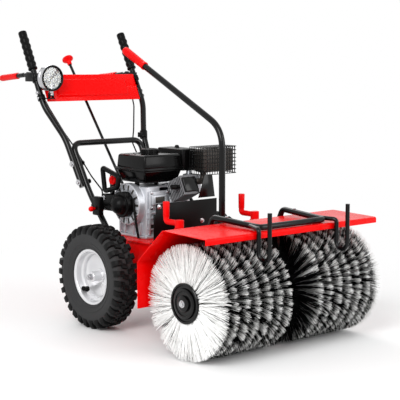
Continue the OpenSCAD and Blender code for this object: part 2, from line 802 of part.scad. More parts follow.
tank_right = 118;
tank_ahead = 110;
tank_low = 560;
tank_top = tank_low + tank_h;
seam_share = 0.45;
tank_round = 22;
tank_inset = 16;
seam_over = 5;
seam_t = 4;
tank_wall = 2.5;
neck_r = 28;
neck_h = 8;
neck_bore_r = 23;
cap_ahead = 32;
cap_at = [-28, crank_y - cap_ahead];
cap_h = 21;
tank_foot_r = 10;
tank_feet_shares = [0.25, 0.75];

module tank_slab(inset, z0, z1) {
    translate([inset - tank_right, crank_y - tank_ahead + inset, z0]) linear_extrude(z1 - z0)
        rounded_plate(tank_w - 2 * inset, tank_l - 2 * inset, tank_round);
}
module fuel_tank() {
    seam = tank_low + tank_h * seam_share;
    color(black) difference() {
        union() {
            tank_slab(tank_inset, tank_low, seam);
            tank_slab(-seam_over, seam, seam + seam_t);
            tank_slab(0, seam + overrun, tank_top);
            translate(cap_at) z_rod(neck_r, tank_top - overrun, tank_top + neck_h);
            for (s = tank_feet_shares)
                translate([-tank_right + tank_w * s, crank_y, 0]) z_rod(tank_foot_r, block_top,
                    tank_low + overrun);
        }
        tank_slab(tank_inset + tank_wall, tank_low + tank_wall, seam + seam_t);
        tank_slab(tank_wall, seam + seam_t - overrun, tank_top - tank_wall);
        translate(cap_at) z_rod(neck_bore_r, tank_top - 2 * tank_wall, tank_top + neck_h + overrun);
    }
}
module fuel_cap() {
    cap_low = tank_top + rest_gap;
    color(black) translate(cap_at) difference() {
        z_rod(fuel_cap_d / 2, cap_low, cap_low + cap_h);
        z_rod(neck_r + rest_gap, cap_low - overrun, tank_top + neck_h + rest_gap);
    }
}

muffler_x = 124;
muffler_ahead = 198;
muffler_low = 586;
guard_wall = 2.5;
slot_count = 8;
slot_share = 0.55;
post_w = 10;
shield_t = 2;
shield_over = 4;
shield_low = 498;
shield_top_x = [124, 164];
shield_low_x = [89, 179];
can_gap = 10;
can_round = 20;
can_wall = 2;
pipe_r = 13;
pipe_x = 152;
pipe_ahead = 157;
pipe_z = 560;
strap_w = 16;
muffler_y = crank_y - muffler_ahead;
muffler_top = muffler_low + muffler_h;

module can_shape(inset, r) {
    translate([muffler_x + inset, muffler_y + inset, muffler_low + inset])
        linear_extrude(muffler_h - 2 * inset) rounded_plate(muffler_w - 2 * inset, muffler_l - 2 * inset, r);
}
module muffler() {
    color("#55565a") {
        difference() {
            can_shape(can_gap, can_round);
            can_shape(can_gap + can_wall, can_round - can_wall);
        }
        translate([pipe_x, crank_y - pipe_ahead, 0]) z_rod(pipe_r, pipe_z, muffler_low + can_gap + overrun);
        translate([pipe_x, crank_y - pipe_ahead, pipe_z]) {
            x_rod(pipe_r - seat_gap, cyl_x + head_w / 2 - pipe_x, 0);
            sphere(pipe_r + seat_gap);
        }
        block([muffler_x + muffler_w / 2 - strap_w / 2, muffler_y + muffler_l / 2 - strap_w / 2,
            muffler_top - can_gap - overrun],
            [muffler_x + muffler_w / 2 + strap_w / 2, muffler_y + muffler_l / 2 + strap_w / 2,
                muffler_top - guard_wall]);
    }
}
module muffler_guard() {
    pitch = (muffler_h - guard_wall) / slot_count;
    color(black) translate([0, muffler_y, 0]) rotate([90, 0, 0]) translate([0, 0, -shield_t])
        linear_extrude(shield_t) polygon([[shield_top_x[0], muffler_low + shield_over],
            [shield_top_x[1], muffler_low + shield_over], [shield_low_x[1], shield_low],
            [shield_low_x[0], shield_low]]);
    color(black) difference() {
        block([muffler_x, muffler_y, muffler_low],
            [muffler_x + muffler_w, muffler_y + muffler_l, muffler_top]);
        block([muffler_x + guard_wall, muffler_y + guard_wall, muffler_low - overrun],
            [muffler_x + muffler_w - guard_wall, muffler_y + muffler_l + overrun, muffler_top - guard_wall]);
        for (k = [0:slot_count - 1]) {
            z = muffler_low + pitch * (k + (1 - slot_share) / 2);
            block([muffler_x + post_w, muffler_y - overrun, z],
                [muffler_x + muffler_w - post_w, muffler_y + guard_wall + overrun, z + pitch * slot_share]);
            block([muffler_x - overrun, muffler_y + post_w, z],
                [muffler_x + muffler_w + overrun, muffler_y + muffler_l - post_w, z + pitch * slot_share]);
        }
    }
}

air_x = [92, 178];
air_span = [-98, 70];
air_y = [crank_y + air_span[0], crank_y + air_span[1]];
air_z = [600, 688];
air_round = 14;
air_knob_r = 9;
air_knob_h = 11;
air_knob_back = 2;
air_knob_at = [146, crank_y + air_knob_back];
carb_x = 48;
carb_span = [-136, -72];
carb_y = [crank_y + carb_span[0], crank_y + carb_span[1]];
carb_z = [515, 585];
carb_neck_r = 11;
module air_cleaner() {
    color(black) {
        translate([air_x[0], air_y[0], air_z[0]]) linear_extrude(air_z[1] - air_z[0])
            rounded_plate(air_x[1] - air_x[0], air_y[1] - air_y[0], air_round);
        translate(air_knob_at) z_rod(air_knob_r, air_z[1] - overrun, air_z[1] + air_knob_h);
    }
}
module carburettor() {
    x0 = max(cyl_x + fin_w / 2, block_left) + seat_gap;
    neck_x = (max(x0, air_x[0]) + x0 + carb_x) / 2;
    color(silver) {
        block([x0, carb_y[0], carb_z[0]], [x0 + carb_x, carb_y[1], carb_z[1]]);
        translate([neck_x, (max(air_y[0], carb_y[0]) + carb_y[1]) / 2, 0])
            z_rod(carb_neck_r, carb_z[1] - overrun, air_z[0]);
    }
}

// Recoil starter: cover with dome, plate and switch bracket, and the pull loop
recoil_x = block_right + fan_depth;
recoil_depth = 30;
recoil_wall = 3;
plate_span = [32, 130];
plate_low = 440;
plate_t = 5;
plate_out = 25;
loop_back = 77;
loop_z = 566;
loop_r = pull_loop_t / 2;
loop_at = [-recoil_x - plate_out, crank_y + loop_back, loop_z];
loop_corners = [[0.96, 1], [0.65, -1], [-1.14, -0.54], [-1.32, 0.38]];
loop_grow = 0.5;
plate_top = loop_at[2] - pull_loop_h / 2 - loop_grow - rest_gap;
web_span = [90, 95];
web_low = 480;
switch_plate_span = [70, 120];
switch_plate_z = [532, 585];
switch_plate_t = 3;
switch_plate_in = 13;
switch_plate_x = recoil_x - switch_plate_in;
recoil_r = recoil_d / 2;
dome_r = dome_d / 2;
module recoil_cover() {
    face = recoil_x + recoil_depth;
    color(black) difference() {
        union() {
            translate([0, crank_y, crank_z]) {
                x_rod(recoil_r, -face, -recoil_x);
                translate([-face, 0, 0]) turned_x() intersection() {
                    circle(dome_r);
                    translate([0, -dome_r]) square([dome_r, dome_r + overrun]);
                }
            }
            block([loop_at[0] - plate_t / 2, crank_y + plate_span[0], plate_low],
                [loop_at[0] + plate_t / 2, crank_y + plate_span[1], plate_top]);
            block([loop_at[0], crank_y + web_span[0], web_low],
                [-switch_plate_x, crank_y + web_span[1], plate_top]);
            block([-switch_plate_x - switch_plate_t, crank_y + web_span[0], web_low],
                [-switch_plate_x, crank_y + switch_plate_span[1], switch_plate_z[1]]);
            block([-switch_plate_x - switch_plate_t, crank_y + switch_plate_span[0], switch_plate_z[0]],
                [-switch_plate_x, crank_y + switch_plate_span[1], switch_plate_z[1]]);
        }
        translate([0, crank_y, crank_z]) x_rod(recoil_r - recoil_wall, -face + recoil_wall,
            -recoil_x + overrun);
    }
}
module recoil_handle() {
    reach = pull_loop_h / 2 - loop_r;
    corners = [for (c = loop_corners) [0, c[0] * reach, c[1] * reach]];
    color(black) translate(loop_at) for (i = [0:len(corners) - 1]) {
        rod(corners[i], corners[(i + 1) % len(corners)], loop_r - (i % 2) * loop_grow);
        translate(corners[i]) sphere(loop_r + loop_grow);
    }
}

switch_at = [94, 562];
switch_r = 19;
switch_h = 12;
switch_wing = 8;
switch_wing_share = 0.8;
module engine_switch() {
    base = -switch_plate_x - switch_plate_t - rest_gap;
    reach = switch_r * switch_wing_share;
    color(red) translate([base, crank_y + switch_at[0], switch_at[1]]) {
        x_rod(switch_r, -switch_h, 0);
        block([-switch_h - switch_wing, -switch_wing / 2, -reach],
            [-switch_h + overrun, switch_wing / 2, reach]);
    }
}

box_x = [206, 182];
box_span = [112, 158];
box_z = [424, 500];
button_at = [146, 450];
button_r = 11;
button_flat_share = 0.96;
button_stem_r = 6;
button_travel = 4;
button_bore = 12;
box_tab_back = 200;
box_tab_z = [448, 464];
module switch_box() {
    color("#4a4b4f") difference() {
        union() {
            block([-box_x[0], axle_y + box_span[0], box_z[0]], [-box_x[1], axle_y + box_span[1], box_z[1]]);
            block([-box_x[1] - overrun, axle_y + box_span[0], box_tab_z[0]],
                [-leg_x - tube_r - seat_gap, axle_y + box_tab_back, box_tab_z[1]]);
        }
        translate([-box_x[0], axle_y + button_at[0], button_at[1]])
            x_rod(button_stem_r + run_gap, -overrun, button_bore);
    }
}
module stop_button() {
    ball_out = button_r + button_travel + rest_gap;
    color(red) translate([-box_x[0] - ball_out, axle_y + button_at[0], button_at[1]]) turned_x() {
        intersection() {
            circle(button_r);
            translate([0, -button_r * button_flat_share]) square([button_r, 2 * button_r]);
        }
        square([button_stem_r, ball_out + button_bore - button_travel - overrun]);
    }
}

// Belt drive on the operator's left: crankshaft pulley, belt and gearbox input pulley
pulley_clear = 12;
pulley_x = chassis_x + pulley_clear;
pulley_w = 22;
drive_pulley_r = 38;
input_pulley_r = 60;
belt_gap = 0.35;
belt_t = 7;
belt_w = 14;
web_r = 30;
web_t = 12;
web_gap = 14;
flywheel_room = 5;
flywheel_r = fan_r - fan_wall - flywheel_room;
flywheel_t = 14;
module crankshaft() {
    color(silver) translate([0, crank_y, crank_z]) {
        x_rod(crank_r, -block_right - flywheel_room - flywheel_t, pulley_x + pulley_w);
        x_rod(flywheel_r, -block_right - flywheel_room - flywheel_t, -block_right - flywheel_room);
        for (side = [-1, 1])
            translate([cyl_x + side * (web_gap + web_t / 2), 0, 0]) x_rod(web_r, -web_t / 2, web_t / 2);
        x_rod(drive_pulley_r, pulley_x, pulley_x + pulley_w);
    }
}
module input_pulley() {
    color(silver) translate([0, axle_y - input_ahead, input_z]) {
        x_rod(input_r, case_x - case_wall - input_r, pulley_x + pulley_w);
        x_rod(input_pulley_r, pulley_x, pulley_x + pulley_w);
    }
}
module belt_loop(grow) {
    hull() {
        translate([crank_z, crank_y]) circle(drive_pulley_r + grow, $fn = 96);
        translate([input_z, axle_y - input_ahead]) circle(input_pulley_r + grow, $fn = 96);
    }
}
module drive_belt() {
    color(rubber) translate([pulley_x + pulley_w / 2 - belt_w / 2, 0, 0]) rotate([0, 90, 0]) mirror([1, 0, 0])
        linear_extrude(belt_w) difference() {
            belt_loop(belt_gap + belt_t);
            belt_loop(belt_gap);
        }
}

// Running gear: axle, rims and tyres
rim_r = rim_d / 2;
rim_wall = 3;
rim_seat_drop = 11;
seat_r = rim_r - rim_seat_drop;
flange_t = 4;
dish_u = -14;
dish_t = 4;
step_w = 16;
step_drop = 10;
hub_r = 20;
hub_in = 48;
hub_out_gap = 4;
axle_over = 9;
final_gear_r = 55;
final_gear_w = 24;
module axle_shaft() {
    end = track / 2 + rim_w / 2 + axle_over;
    color(silver) translate([0, axle_y, axle_z]) {
        x_rod(axle_r, -end, end);
        x_rod(final_gear_r, -final_gear_w / 2, final_gear_w / 2);
    }
}
module wheel_rims() {
    u = rim_w / 2;
    color(silver) both_sides() translate([track / 2, axle_y, axle_z]) {
        difference() {
            union() {
                x_rod(seat_r, -u, u);
                for (x = [-u, u - flange_t]) x_rod(rim_r, x, x + flange_t);
                x_rod(hub_r, -hub_in, u - hub_out_gap);
            }
            difference() {
                x_rod(seat_r - rim_wall, -u - overrun, u + overrun);
                x_rod(seat_r, dish_u, dish_u + dish_t);
                difference() {
                    x_rod(seat_r, dish_u, dish_u + step_w);
                    x_rod(seat_r - step_drop, dish_u - overrun, dish_u + step_w + overrun);
                }
                x_rod(hub_r, -hub_in - overrun, u - hub_out_gap);
            }
            x_rod(axle_r + seat_gap, -hub_in - overrun, u + overrun);
        }
    }
}

carcass_r = tyre_r - lug_h;
section_r = tyre_w / 2;
band_drop = 3;
band_share = 0.8;
lug_root_share = 0.6;
lug_ring_share = 0.25;
lug_reach_share = 0.43;
lug_split = 6;
tyre_wall = 10;
lug_flare_share = 1.2;
module lug_row(turn) {
    pitch = 360 / lug_count;
    root = carcass_r - section_r * (1 - lug_root_share);
    rotate([0, 90, 0]) linear_extrude(tyre_w * lug_reach_share - lug_split / 2) difference() {
        rotate(turn) polygon([for (k = [0:lug_count - 1])
            for (c = [[tyre_r, -1], [tyre_r, 1], [root, lug_flare_share], [root, 2 * lug_flare_share]])
            let (a = k * pitch + c[1] * lug_half_angle) [c[0] * cos(a), c[0] * sin(a)]]);
        circle(carcass_r - section_r * (1 + lug_ring_share));
    }
}
module tyre() {
    u = rim_w / 2 - flange_t - seat_gap;
    color(rubber) translate([track / 2, axle_y, axle_z]) difference() {
        union() {
            turned_x() {
                translate([carcass_r - section_r, 0]) circle(section_r);
                translate([seat_r, -tyre_w * band_share / 2])
                    square([carcass_r - band_drop - seat_r, tyre_w * band_share]);
            }
            translate([lug_split / 2, 0, 0]) lug_row(0);
            mirror([1, 0, 0]) translate([lug_split / 2, 0, 0]) lug_row(180 / lug_count);
        }
        turned_x() translate([carcass_r - section_r, 0]) circle(section_r - tyre_wall);
        x_rod(seat_r + seat_gap, -tyre_w, tyre_w);
        for (side = [[-tyre_w, -u], [u, tyre_w]]) x_rod(rim_r + seat_gap, side[0], side[1]);
    }
}
module right_tyre() { mirror([1, 0, 0]) tyre(); }
module left_tyre() { tyre(); }

// Brush drive: output shaft, flexible coupling, torque tube, worm shaft and gear case
coupling_r = 26;
coupling_half = 20;
shaft_collar_r = 16;
output_in = 8;
head_ahead = 62;
head_plate_t = 8;
head_x = 45;
head_z = [200, 330];
ear_x = 25;
ear_r = 30;
torque_r = 26;
torque_bore_r = 16;
case_rear = 51;
flange_plate_w = 130;
flange_plate_h = 100;
flange_plate_t = 6;
lever_ahead = 376;
lever_at = [20, axle_y - lever_ahead];
socket_r = 17;
socket_top = 455;
swing_tube_r = tube_r;
socket_bolt_r = 7;
socket_bolt_drop = 14;
hood_back_y = brush_y + hood_rear;

module output_shaft() {
    color(silver) translate([0, 0, shaft_z]) {
        y_rod(shaft_r, pivot_y + coupling_half, axle_y - case_front + case_wall + output_in);
        y_rod(shaft_collar_r, pivot_y + coupling_half, pivot_y + coupling_half + shaft_collar_r);
    }
}
module flexible_coupling() {
    color(rubber) translate([0, pivot_y, shaft_z]) turned_y() intersection() {
        circle(coupling_r);
        translate([0, -2 * coupling_r]) square([2 * coupling_r, 2 * coupling_r + coupling_half]);
    }
}
module drive_shaft() {
    color(silver) translate([0, 0, shaft_z]) {
        y_rod(worm_r, brush_y - worm_len / 2, brush_y + worm_len / 2);
        y_rod(shaft_r, brush_y - worm_len, pivot_y - coupling_r - rest_gap);
    }
}
module swing_frame() {
    y0 = pivot_y - head_ahead;
    case_y = brush_y + case_rear;
    color(black) difference() {
        union() {
            block([-head_x, y0, head_z[0]], [head_x, y0 + head_plate_t, head_z[1]]);
            for (z = [ear_lower_z, ear_upper_z]) {
                block([-ear_x, y0, z], [ear_x, pivot_y, z + ear_t]);
                translate([0, pivot_y, 0]) z_rod(ear_r, z, z + ear_t);
            }
            translate([0, 0, shaft_z]) y_rod(torque_r, case_y, y0 + overrun);
            block([-flange_plate_w / 2, hood_back_y, shaft_z - flange_plate_h / 2],
                [flange_plate_w / 2, hood_back_y + flange_plate_t, shaft_z + flange_plate_h / 2]);
            translate(lever_at) z_rod(socket_r, ear_upper_z, socket_top);
            translate([lever_at[0], lever_at[1], socket_top - socket_bolt_drop])
                x_rod(socket_bolt_r, socket_r - overrun, socket_r + socket_bolt_r);
        }
        translate([0, 0, shaft_z]) y_rod(torque_bore_r, case_y - overrun, y0 + head_plate_t + overrun);
        translate([0, pivot_y, 0]) z_rod(pin_r + run_gap, ear_lower_z - overrun,
            ear_upper_z + ear_t + overrun);
        translate(lever_at) z_rod(swing_tube_r + seat_gap, ear_upper_z + ear_t, socket_top + overrun);
    }
}
case_half = 34;
case_r = 54;
case_shell = 9;
worm_r = 20;
worm_len = 60;
mesh_gap = 1;
worm_wheel_r = shaft_z - brush_z - worm_r - mesh_gap;
worm_wheel_w = 22;
worm_room = 5;
case_box_z = [224, 302];
case_box_front = 48;
brush_shaft_r = brush_shaft_d / 2;
module brush_gear_case() {
    color("#3a3b3e") difference() {
        union() {
            translate([0, brush_y, brush_z]) x_rod(case_r, -case_half, case_half);
            block([-case_half, brush_y - case_box_front, case_box_z[0]],
                [case_half, brush_y + case_rear, case_box_z[1]]);
        }
        translate([0, brush_y, brush_z]) {
            x_rod(brush_shaft_r + run_gap, -case_half - overrun, case_half + overrun);
            x_rod(case_r - case_shell, -worm_wheel_w / 2 - worm_room, worm_wheel_w / 2 + worm_room);
        }
        translate([0, brush_y, shaft_z]) {
            y_rod(worm_r + worm_room, -worm_len / 2 - worm_room, worm_len / 2 + worm_room);
            y_rod(shaft_r + run_gap, -worm_len - worm_room, case_rear + overrun);
        }
    }
}

// The rotor: shaft with worm wheel, two bristle halves and two end plates
core_r = core_d / 2;
core_wall = 8;
core_web = 10;
end_plate_t = 6;
plate_dome = 14;
plate_dome_share = 0.6;
end_bolt_r = 11;
end_bolt_h = 8;
half_in = brush_gap / 2;
half_out = brush_length / 2;
module brush_shaft() {
    color(silver) translate([0, brush_y, brush_z]) {
        x_rod(brush_shaft_r, -half_out, half_out);
        x_rod(worm_wheel_r, -worm_wheel_w / 2, worm_wheel_w / 2);
    }
}
tuft_root = core_wall / 2;
module brush_half() {
    pitch = (half_out - half_in) / tuft_rows;
    color(bristle) translate([0, brush_y, brush_z]) difference() {
        union() {
            x_rod(core_r, half_in, half_out);
            for (row = [0:tuft_rows - 1]) for (k = [0:tufts_around - 1])
                translate([half_in + (row + 0.5) * pitch, 0, 0])
                    rotate([(k + row / 2) * 360 / tufts_around, 0, 0])
                    translate([0, 0, core_r - tuft_root])
                        cylinder(h = brush_r - core_r + tuft_root, r = tuft_d / 2, $fn = 3);
        }
        x_rod(core_r - core_wall, half_in + core_web, half_out - core_web);
        x_rod(brush_shaft_r + seat_gap, half_in - overrun, half_out + overrun);
    }
}
module right_brush() { mirror([1, 0, 0]) brush_half(); }
module left_brush() { brush_half(); }
module end_plates() {
    plate_r = end_plate_d / 2;
    color(black) both_sides() translate([half_out, brush_y, brush_z]) {
        x_rod(plate_r, 0, end_plate_t);
        turned_x() polygon([[0, end_plate_t - overrun], [plate_r * plate_dome_share, end_plate_t - overrun],
            [plate_r * plate_dome_share * plate_dome_share, plate_dome], [0, plate_dome]]);
        x_rod(end_bolt_r, plate_dome - overrun, plate_dome + end_bolt_h);
    }
}

// Hood with its castor guides, the container frame and the swing lever
guide_r = 20;
guide_low = 250;
guide_top = 425;
guide_bracket_x = 10;
guide_bracket_low = 255;
guide_bracket_top = 325;
castor_y = hood_back_y + castor_back;
leg_r = leg_d / 2;
hood_profile = [[brush_y - hood_front, hood_front_z - hood_lip], [brush_y - hood_front, hood_front_z],
    [brush_y + hood_ridge, hood_ridge_z], [hood_back_y, hood_bend_z], [hood_back_y, hood_low_z]];
module brush_hood() {
    color(red) difference() {
        union() {
            x_sheet(sheet_outline(hood_profile, -hood_t), hood_w);
            both_sides() {
                translate([castor_x, castor_y, 0]) z_rod(guide_r, guide_low, guide_top);
                block([castor_x - guide_bracket_x, hood_back_y - hood_t / 2, guide_bracket_low],
                    [castor_x + guide_bracket_x, castor_y, guide_bracket_top]);
            }
        }
        both_sides() translate([castor_x, castor_y, 0]) z_rod(leg_r + run_gap, guide_low - overrun,
            guide_top + overrun);
        translate([0, hood_back_y, shaft_z]) y_rod(torque_r + seat_gap, -hood_t - overrun, overrun);
    }
}

foot_back = 132;
rise_back = 104;
rise_z = 482;
frame_x = 180;
frame_foot = [frame_x, brush_y + foot_back];
frame_rise = [frame_x, brush_y + rise_back, rise_z];
corner_grow = 0.5;
frame_front_z = 467;
frame_corner_x = 165;
frame_corner_back = 32;
hook_start_share = 0.78;
slope = (hood_bend_z - hood_ridge_z) / (hood_rear - hood_ridge);
foot_z = hood_ridge_z + slope * (foot_back - hood_ridge);
frame_r = frame_tube_d / 2;
foot_lift_share = 1.32;
foot_lift = frame_r * foot_lift_share;
foot_pad = 15;
foot_pad_t = 4;
module container_hooks() {
    leg_y = axle_y - hook_leg_ahead;
    rod_y = leg_y - hook_span;
    low = hook_low + hook_r + hook_span / 2;
    corner = [frame_corner_x, leg_y + frame_corner_back, frame_front_z];
    hook_at = [hook_x, leg_y, frame_front_z];
    color(black) {
        both_sides() {
            translate([hook_x, 0, 0]) {
                translate([0, leg_y, 0]) z_rod(hook_r, low, frame_front_z);
                translate([0, rod_y, 0]) z_rod(hook_r, low, hook_top);
                translate([0, (leg_y + rod_y) / 2, low]) rotate([0, 90, 0]) rotate([0, 0, -90])
                    rotate_extrude(angle = 180)
                    translate([hook_span / 2, 0]) circle(hook_r);
            }
            rod([frame_foot[0], frame_foot[1], foot_z + foot_lift], frame_rise, frame_r);
            translate([frame_foot[0], frame_foot[1], foot_z]) rotate([atan(slope), 0, 0])
                block([-foot_pad, -foot_pad, seat_gap], [foot_pad, foot_pad, foot_pad_t]);
            rod(frame_rise, corner, frame_r);
            translate(frame_rise) sphere(frame_r + corner_grow);
            translate(corner) sphere(frame_r + corner_grow);
            rod(frame_rise + (corner - frame_rise) * hook_start_share, hook_at, hook_r);
            translate(hook_at) sphere(hook_r + corner_grow);
        }
        translate([0, corner[1], frame_front_z]) x_rod(frame_r, -frame_corner_x, frame_corner_x);
    }
}

lever_bend_z = 788;
lever_end_back = 226;
lever_end_z = 1091;
lever_end = [lever_at[0], axle_y + lever_end_back, lever_end_z];
swing_bend = 60;
swing_grip_len = 150;
socket_floor = ear_upper_z + ear_t + seat_gap;
lever_knee = [lever_at[0], lever_at[1], lever_bend_z];
module swing_lever() {
    path = [[lever_at[0], lever_at[1], socket_floor], lever_knee, towards(lever_end, lever_knee, tube_stop)];
    color(black) swept_tube(bent_path(path, swing_bend, bend_steps), swing_tube_r, tube_sides);
}
module swing_lever_grip() {
    base = towards(lever_end, lever_knee, swing_grip_len);
    color(red) difference() {
        rod(base, lever_end, swing_grip_d / 2);
        rod(towards(base, lever_knee, overrun), towards(lever_end, lever_knee, grip_end_t),
            swing_tube_r + seat_gap);
    }
}

// Castors: crank screw, sliding leg, swivelling fork and wheel
castor_r = castor_d / 2;
castor_floor = 0;
leg_top = 400;
crown_gap = 8;
crown_t = 8;
fork_cheek_t = 4;
fork_cheek_gap = 2;
cheek_half = 11;
stem_r = 8;
stem_len = 40;
crown_z = castor_floor + castor_d + crown_gap;
leg_low = crown_z + crown_t + rest_gap;
castor_pin_r = 5;
screw_r = 7;
screw_len = 90;
screw_gap = 0.4;
crank_hub_r = 17;
crank_hub_h = 36;
crank_grip_rise = 76;
crank_bar_r = crank_bar_d / 2;
crank_z0 = guide_top + rest_gap;
module castor_leg() {
    color(silver) translate([castor_x, castor_y, 0]) difference() {
        z_rod(leg_r, leg_low, leg_top);
        z_rod(screw_r + screw_gap, guide_top - screw_len - screw_len / 2, leg_top + overrun);
        z_rod(stem_r + run_gap, leg_low - overrun, leg_low + stem_len);
    }
}
module castor_fork() {
    cheek_x = castor_w / 2 + fork_cheek_gap;
    axis_z = castor_floor + castor_r;
    color(silver) translate([castor_x, castor_y, 0]) {
        z_rod(stem_r, crown_z, leg_low + stem_len - rest_gap);
        block([-cheek_x - fork_cheek_t, -cheek_half, crown_z],
            [cheek_x + fork_cheek_t, castor_trail + cheek_half, crown_z + crown_t]);
        for (x = [-cheek_x - fork_cheek_t, cheek_x])
            block([x, castor_trail - cheek_half, axis_z - cheek_half],
                [x + fork_cheek_t, castor_trail + cheek_half, crown_z + overrun]);
        translate([0, castor_trail, axis_z]) x_rod(castor_pin_r, -cheek_x - fork_cheek_t,
            cheek_x + fork_cheek_t);
    }
}
module castor_wheel() {
    color(rubber) translate([castor_x, castor_y + castor_trail, castor_floor + castor_r]) difference() {
        x_rod(castor_r, -castor_w / 2, castor_w / 2);
        x_rod(castor_pin_r + run_gap, -castor_w, castor_w);
    }
}
module height_crank() {
    arm_z = crank_z0 + crank_hub_h / 2;
    color(red) translate([castor_x, castor_y, 0]) {
        z_rod(screw_r, guide_top - screw_len, crank_z0 + overrun);
        z_rod(crank_hub_r, crank_z0, crank_z0 + crank_hub_h);
        translate([0, 0, arm_z]) y_rod(crank_bar_r, 0, crank_arm);
        translate([0, crank_arm, arm_z]) sphere(crank_bar_r + corner_grow);
        translate([0, crank_arm, 0]) z_rod(crank_bar_r, arm_z, arm_z + crank_grip_rise);
    }
}
module right_castor_leg() { mirror([1, 0, 0]) castor_leg(); }
module left_castor_leg() { castor_leg(); }
module right_castor_fork() { mirror([1, 0, 0]) castor_fork(); }
module left_castor_fork() { castor_fork(); }
module right_castor_wheel() { mirror([1, 0, 0]) castor_wheel(); }
module left_castor_wheel() { castor_wheel(); }
module right_height_crank() { mirror([1, 0, 0]) height_crank(); }
module left_height_crank() { height_crank(); }

// Control cables, each along its own hand-chosen points
cable_r = cable_d / 2;
cable_sides = 8;
cable_bend = 11;
cable_steps = 3;
cable_x = lever_pivot[0] - lever_eye_w / 2 - clevis_gap - clevis_t - cable_r - seat_gap;
throttle_route = [[-cable_x, 502, 966], [-240, 470, 920], [-226, 428, 850], [-184, 378, 745],
    [-156, 354, 692], [-150, 300, 630], [-154, 235, 575], [-157, 186, 543],
    [-150, 164, 520], [-150, 164, plate_top + seat_gap]];
clutch_route = [[cable_x, 502, 966], [240, 470, 920], [226, 428, 850], [184, 378, 745], [156, 352, 692],
    [148, 298, 630], [138, 230, 520], [126, 170, 420], [120, 135, 366], [120, 135, chassis_top + seat_gap]];
function on_route(route) = [for (p = route) behind_axle(p)];
module throttle_cable() {
    color(black) swept_tube(bent_path(on_route(throttle_route), cable_bend, cable_steps), cable_r,
        cable_sides);
}
module clutch_cable() {
    color(black) swept_tube(bent_path(on_route(clutch_route), cable_bend, cable_steps), cable_r, cable_sides);
}

chassis_frame();
engine_guard();
transmission_case();
axle_bearings();
swing_pins();
lower_handle();
upper_handles();
handle_grips();
frame_bolts();
control_panel();
handle_brackets();
crankcase();
cylinder_block();
fuel_tank();
muffler();
muffler_guard();
air_cleaner();
carburettor();
recoil_cover();
spark_plug();
switch_box();
throttle_cable();
clutch_cable();
drive_belt();
axle_shaft();
right_tyre();
left_tyre();
wheel_rims();
crankshaft();
input_pulley();
output_shaft();
flexible_coupling();
brush_hood();
swing_frame();
brush_gear_case();
container_hooks();
swing_lever();
swing_lever_grip();
drive_shaft();
brush_shaft();
right_brush();
left_brush();
end_plates();
right_castor_leg();
left_castor_leg();
right_castor_fork();
left_castor_fork();
right_castor_wheel();
left_castor_wheel();
right_height_crank();
left_height_crank();
right_clutch_lever();
left_clutch_lever();
gear_lever();
headlight();
lamp_lens();
fuel_cap();
recoil_handle();
engine_switch();
stop_button();
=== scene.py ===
"""Looks of the power brush sweeper: meshes and finishes built around its packed construction.

Everything is in metres, in the construction's own frame: +Z is up, the brush is towards -Y, and +X is
the operator's left. Each sub-assembly is a class that builds its pieces and dresses them.
"""

from __future__ import annotations

import json
import logging
import math
from dataclasses import dataclass
from enum import Enum
from typing import Any, Sequence

import bpy
import numpy as np
from mathutils import Matrix, Vector

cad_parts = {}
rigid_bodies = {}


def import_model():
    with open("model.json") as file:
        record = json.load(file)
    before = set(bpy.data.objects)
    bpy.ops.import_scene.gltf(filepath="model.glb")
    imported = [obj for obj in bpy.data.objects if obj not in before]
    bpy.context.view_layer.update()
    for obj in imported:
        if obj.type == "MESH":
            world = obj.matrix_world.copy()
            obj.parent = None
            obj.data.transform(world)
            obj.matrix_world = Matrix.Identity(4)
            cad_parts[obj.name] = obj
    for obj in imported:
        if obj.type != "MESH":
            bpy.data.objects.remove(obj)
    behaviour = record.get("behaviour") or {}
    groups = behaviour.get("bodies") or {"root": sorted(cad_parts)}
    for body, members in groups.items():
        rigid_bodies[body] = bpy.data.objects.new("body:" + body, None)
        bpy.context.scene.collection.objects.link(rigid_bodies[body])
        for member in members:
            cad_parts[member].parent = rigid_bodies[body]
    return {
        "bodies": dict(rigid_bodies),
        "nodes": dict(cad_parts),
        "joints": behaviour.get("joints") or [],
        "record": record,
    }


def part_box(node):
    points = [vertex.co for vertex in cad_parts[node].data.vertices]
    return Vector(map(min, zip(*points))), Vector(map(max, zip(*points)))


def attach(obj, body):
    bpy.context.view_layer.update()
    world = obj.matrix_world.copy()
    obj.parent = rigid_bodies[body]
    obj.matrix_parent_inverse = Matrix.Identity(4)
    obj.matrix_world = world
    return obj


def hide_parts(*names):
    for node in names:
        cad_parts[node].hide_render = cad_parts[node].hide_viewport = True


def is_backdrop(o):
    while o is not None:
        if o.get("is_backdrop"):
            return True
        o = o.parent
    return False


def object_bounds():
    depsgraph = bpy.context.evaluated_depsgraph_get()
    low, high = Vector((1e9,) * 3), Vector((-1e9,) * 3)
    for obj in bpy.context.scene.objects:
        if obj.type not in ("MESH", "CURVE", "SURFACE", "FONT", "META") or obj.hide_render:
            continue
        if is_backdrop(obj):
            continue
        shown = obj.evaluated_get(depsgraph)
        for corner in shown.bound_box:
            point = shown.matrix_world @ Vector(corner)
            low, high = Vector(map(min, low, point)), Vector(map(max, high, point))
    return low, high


LOG = logging.getLogger("sweeper")
WELD = 1e-6
MERGE = 2e-5
FLAT_ANGLE = math.radians(0.7)
EDGE_ANGLE = math.radians(32)
ROD_ANGLE = math.radians(40)
TUBE_ANGLE = math.radians(50)
WHITE = (1.0, 1.0, 1.0, 1.0)
X_AXIS = Vector((1.0, 0.0, 0.0))
Y_AXIS = Vector((0.0, 1.0, 0.0))
Z_AXIS = Vector((0.0, 0.0, 1.0))
Colour = tuple[float, float, float]
Profile = Sequence[tuple[float, float]]
Object = bpy.types.Object


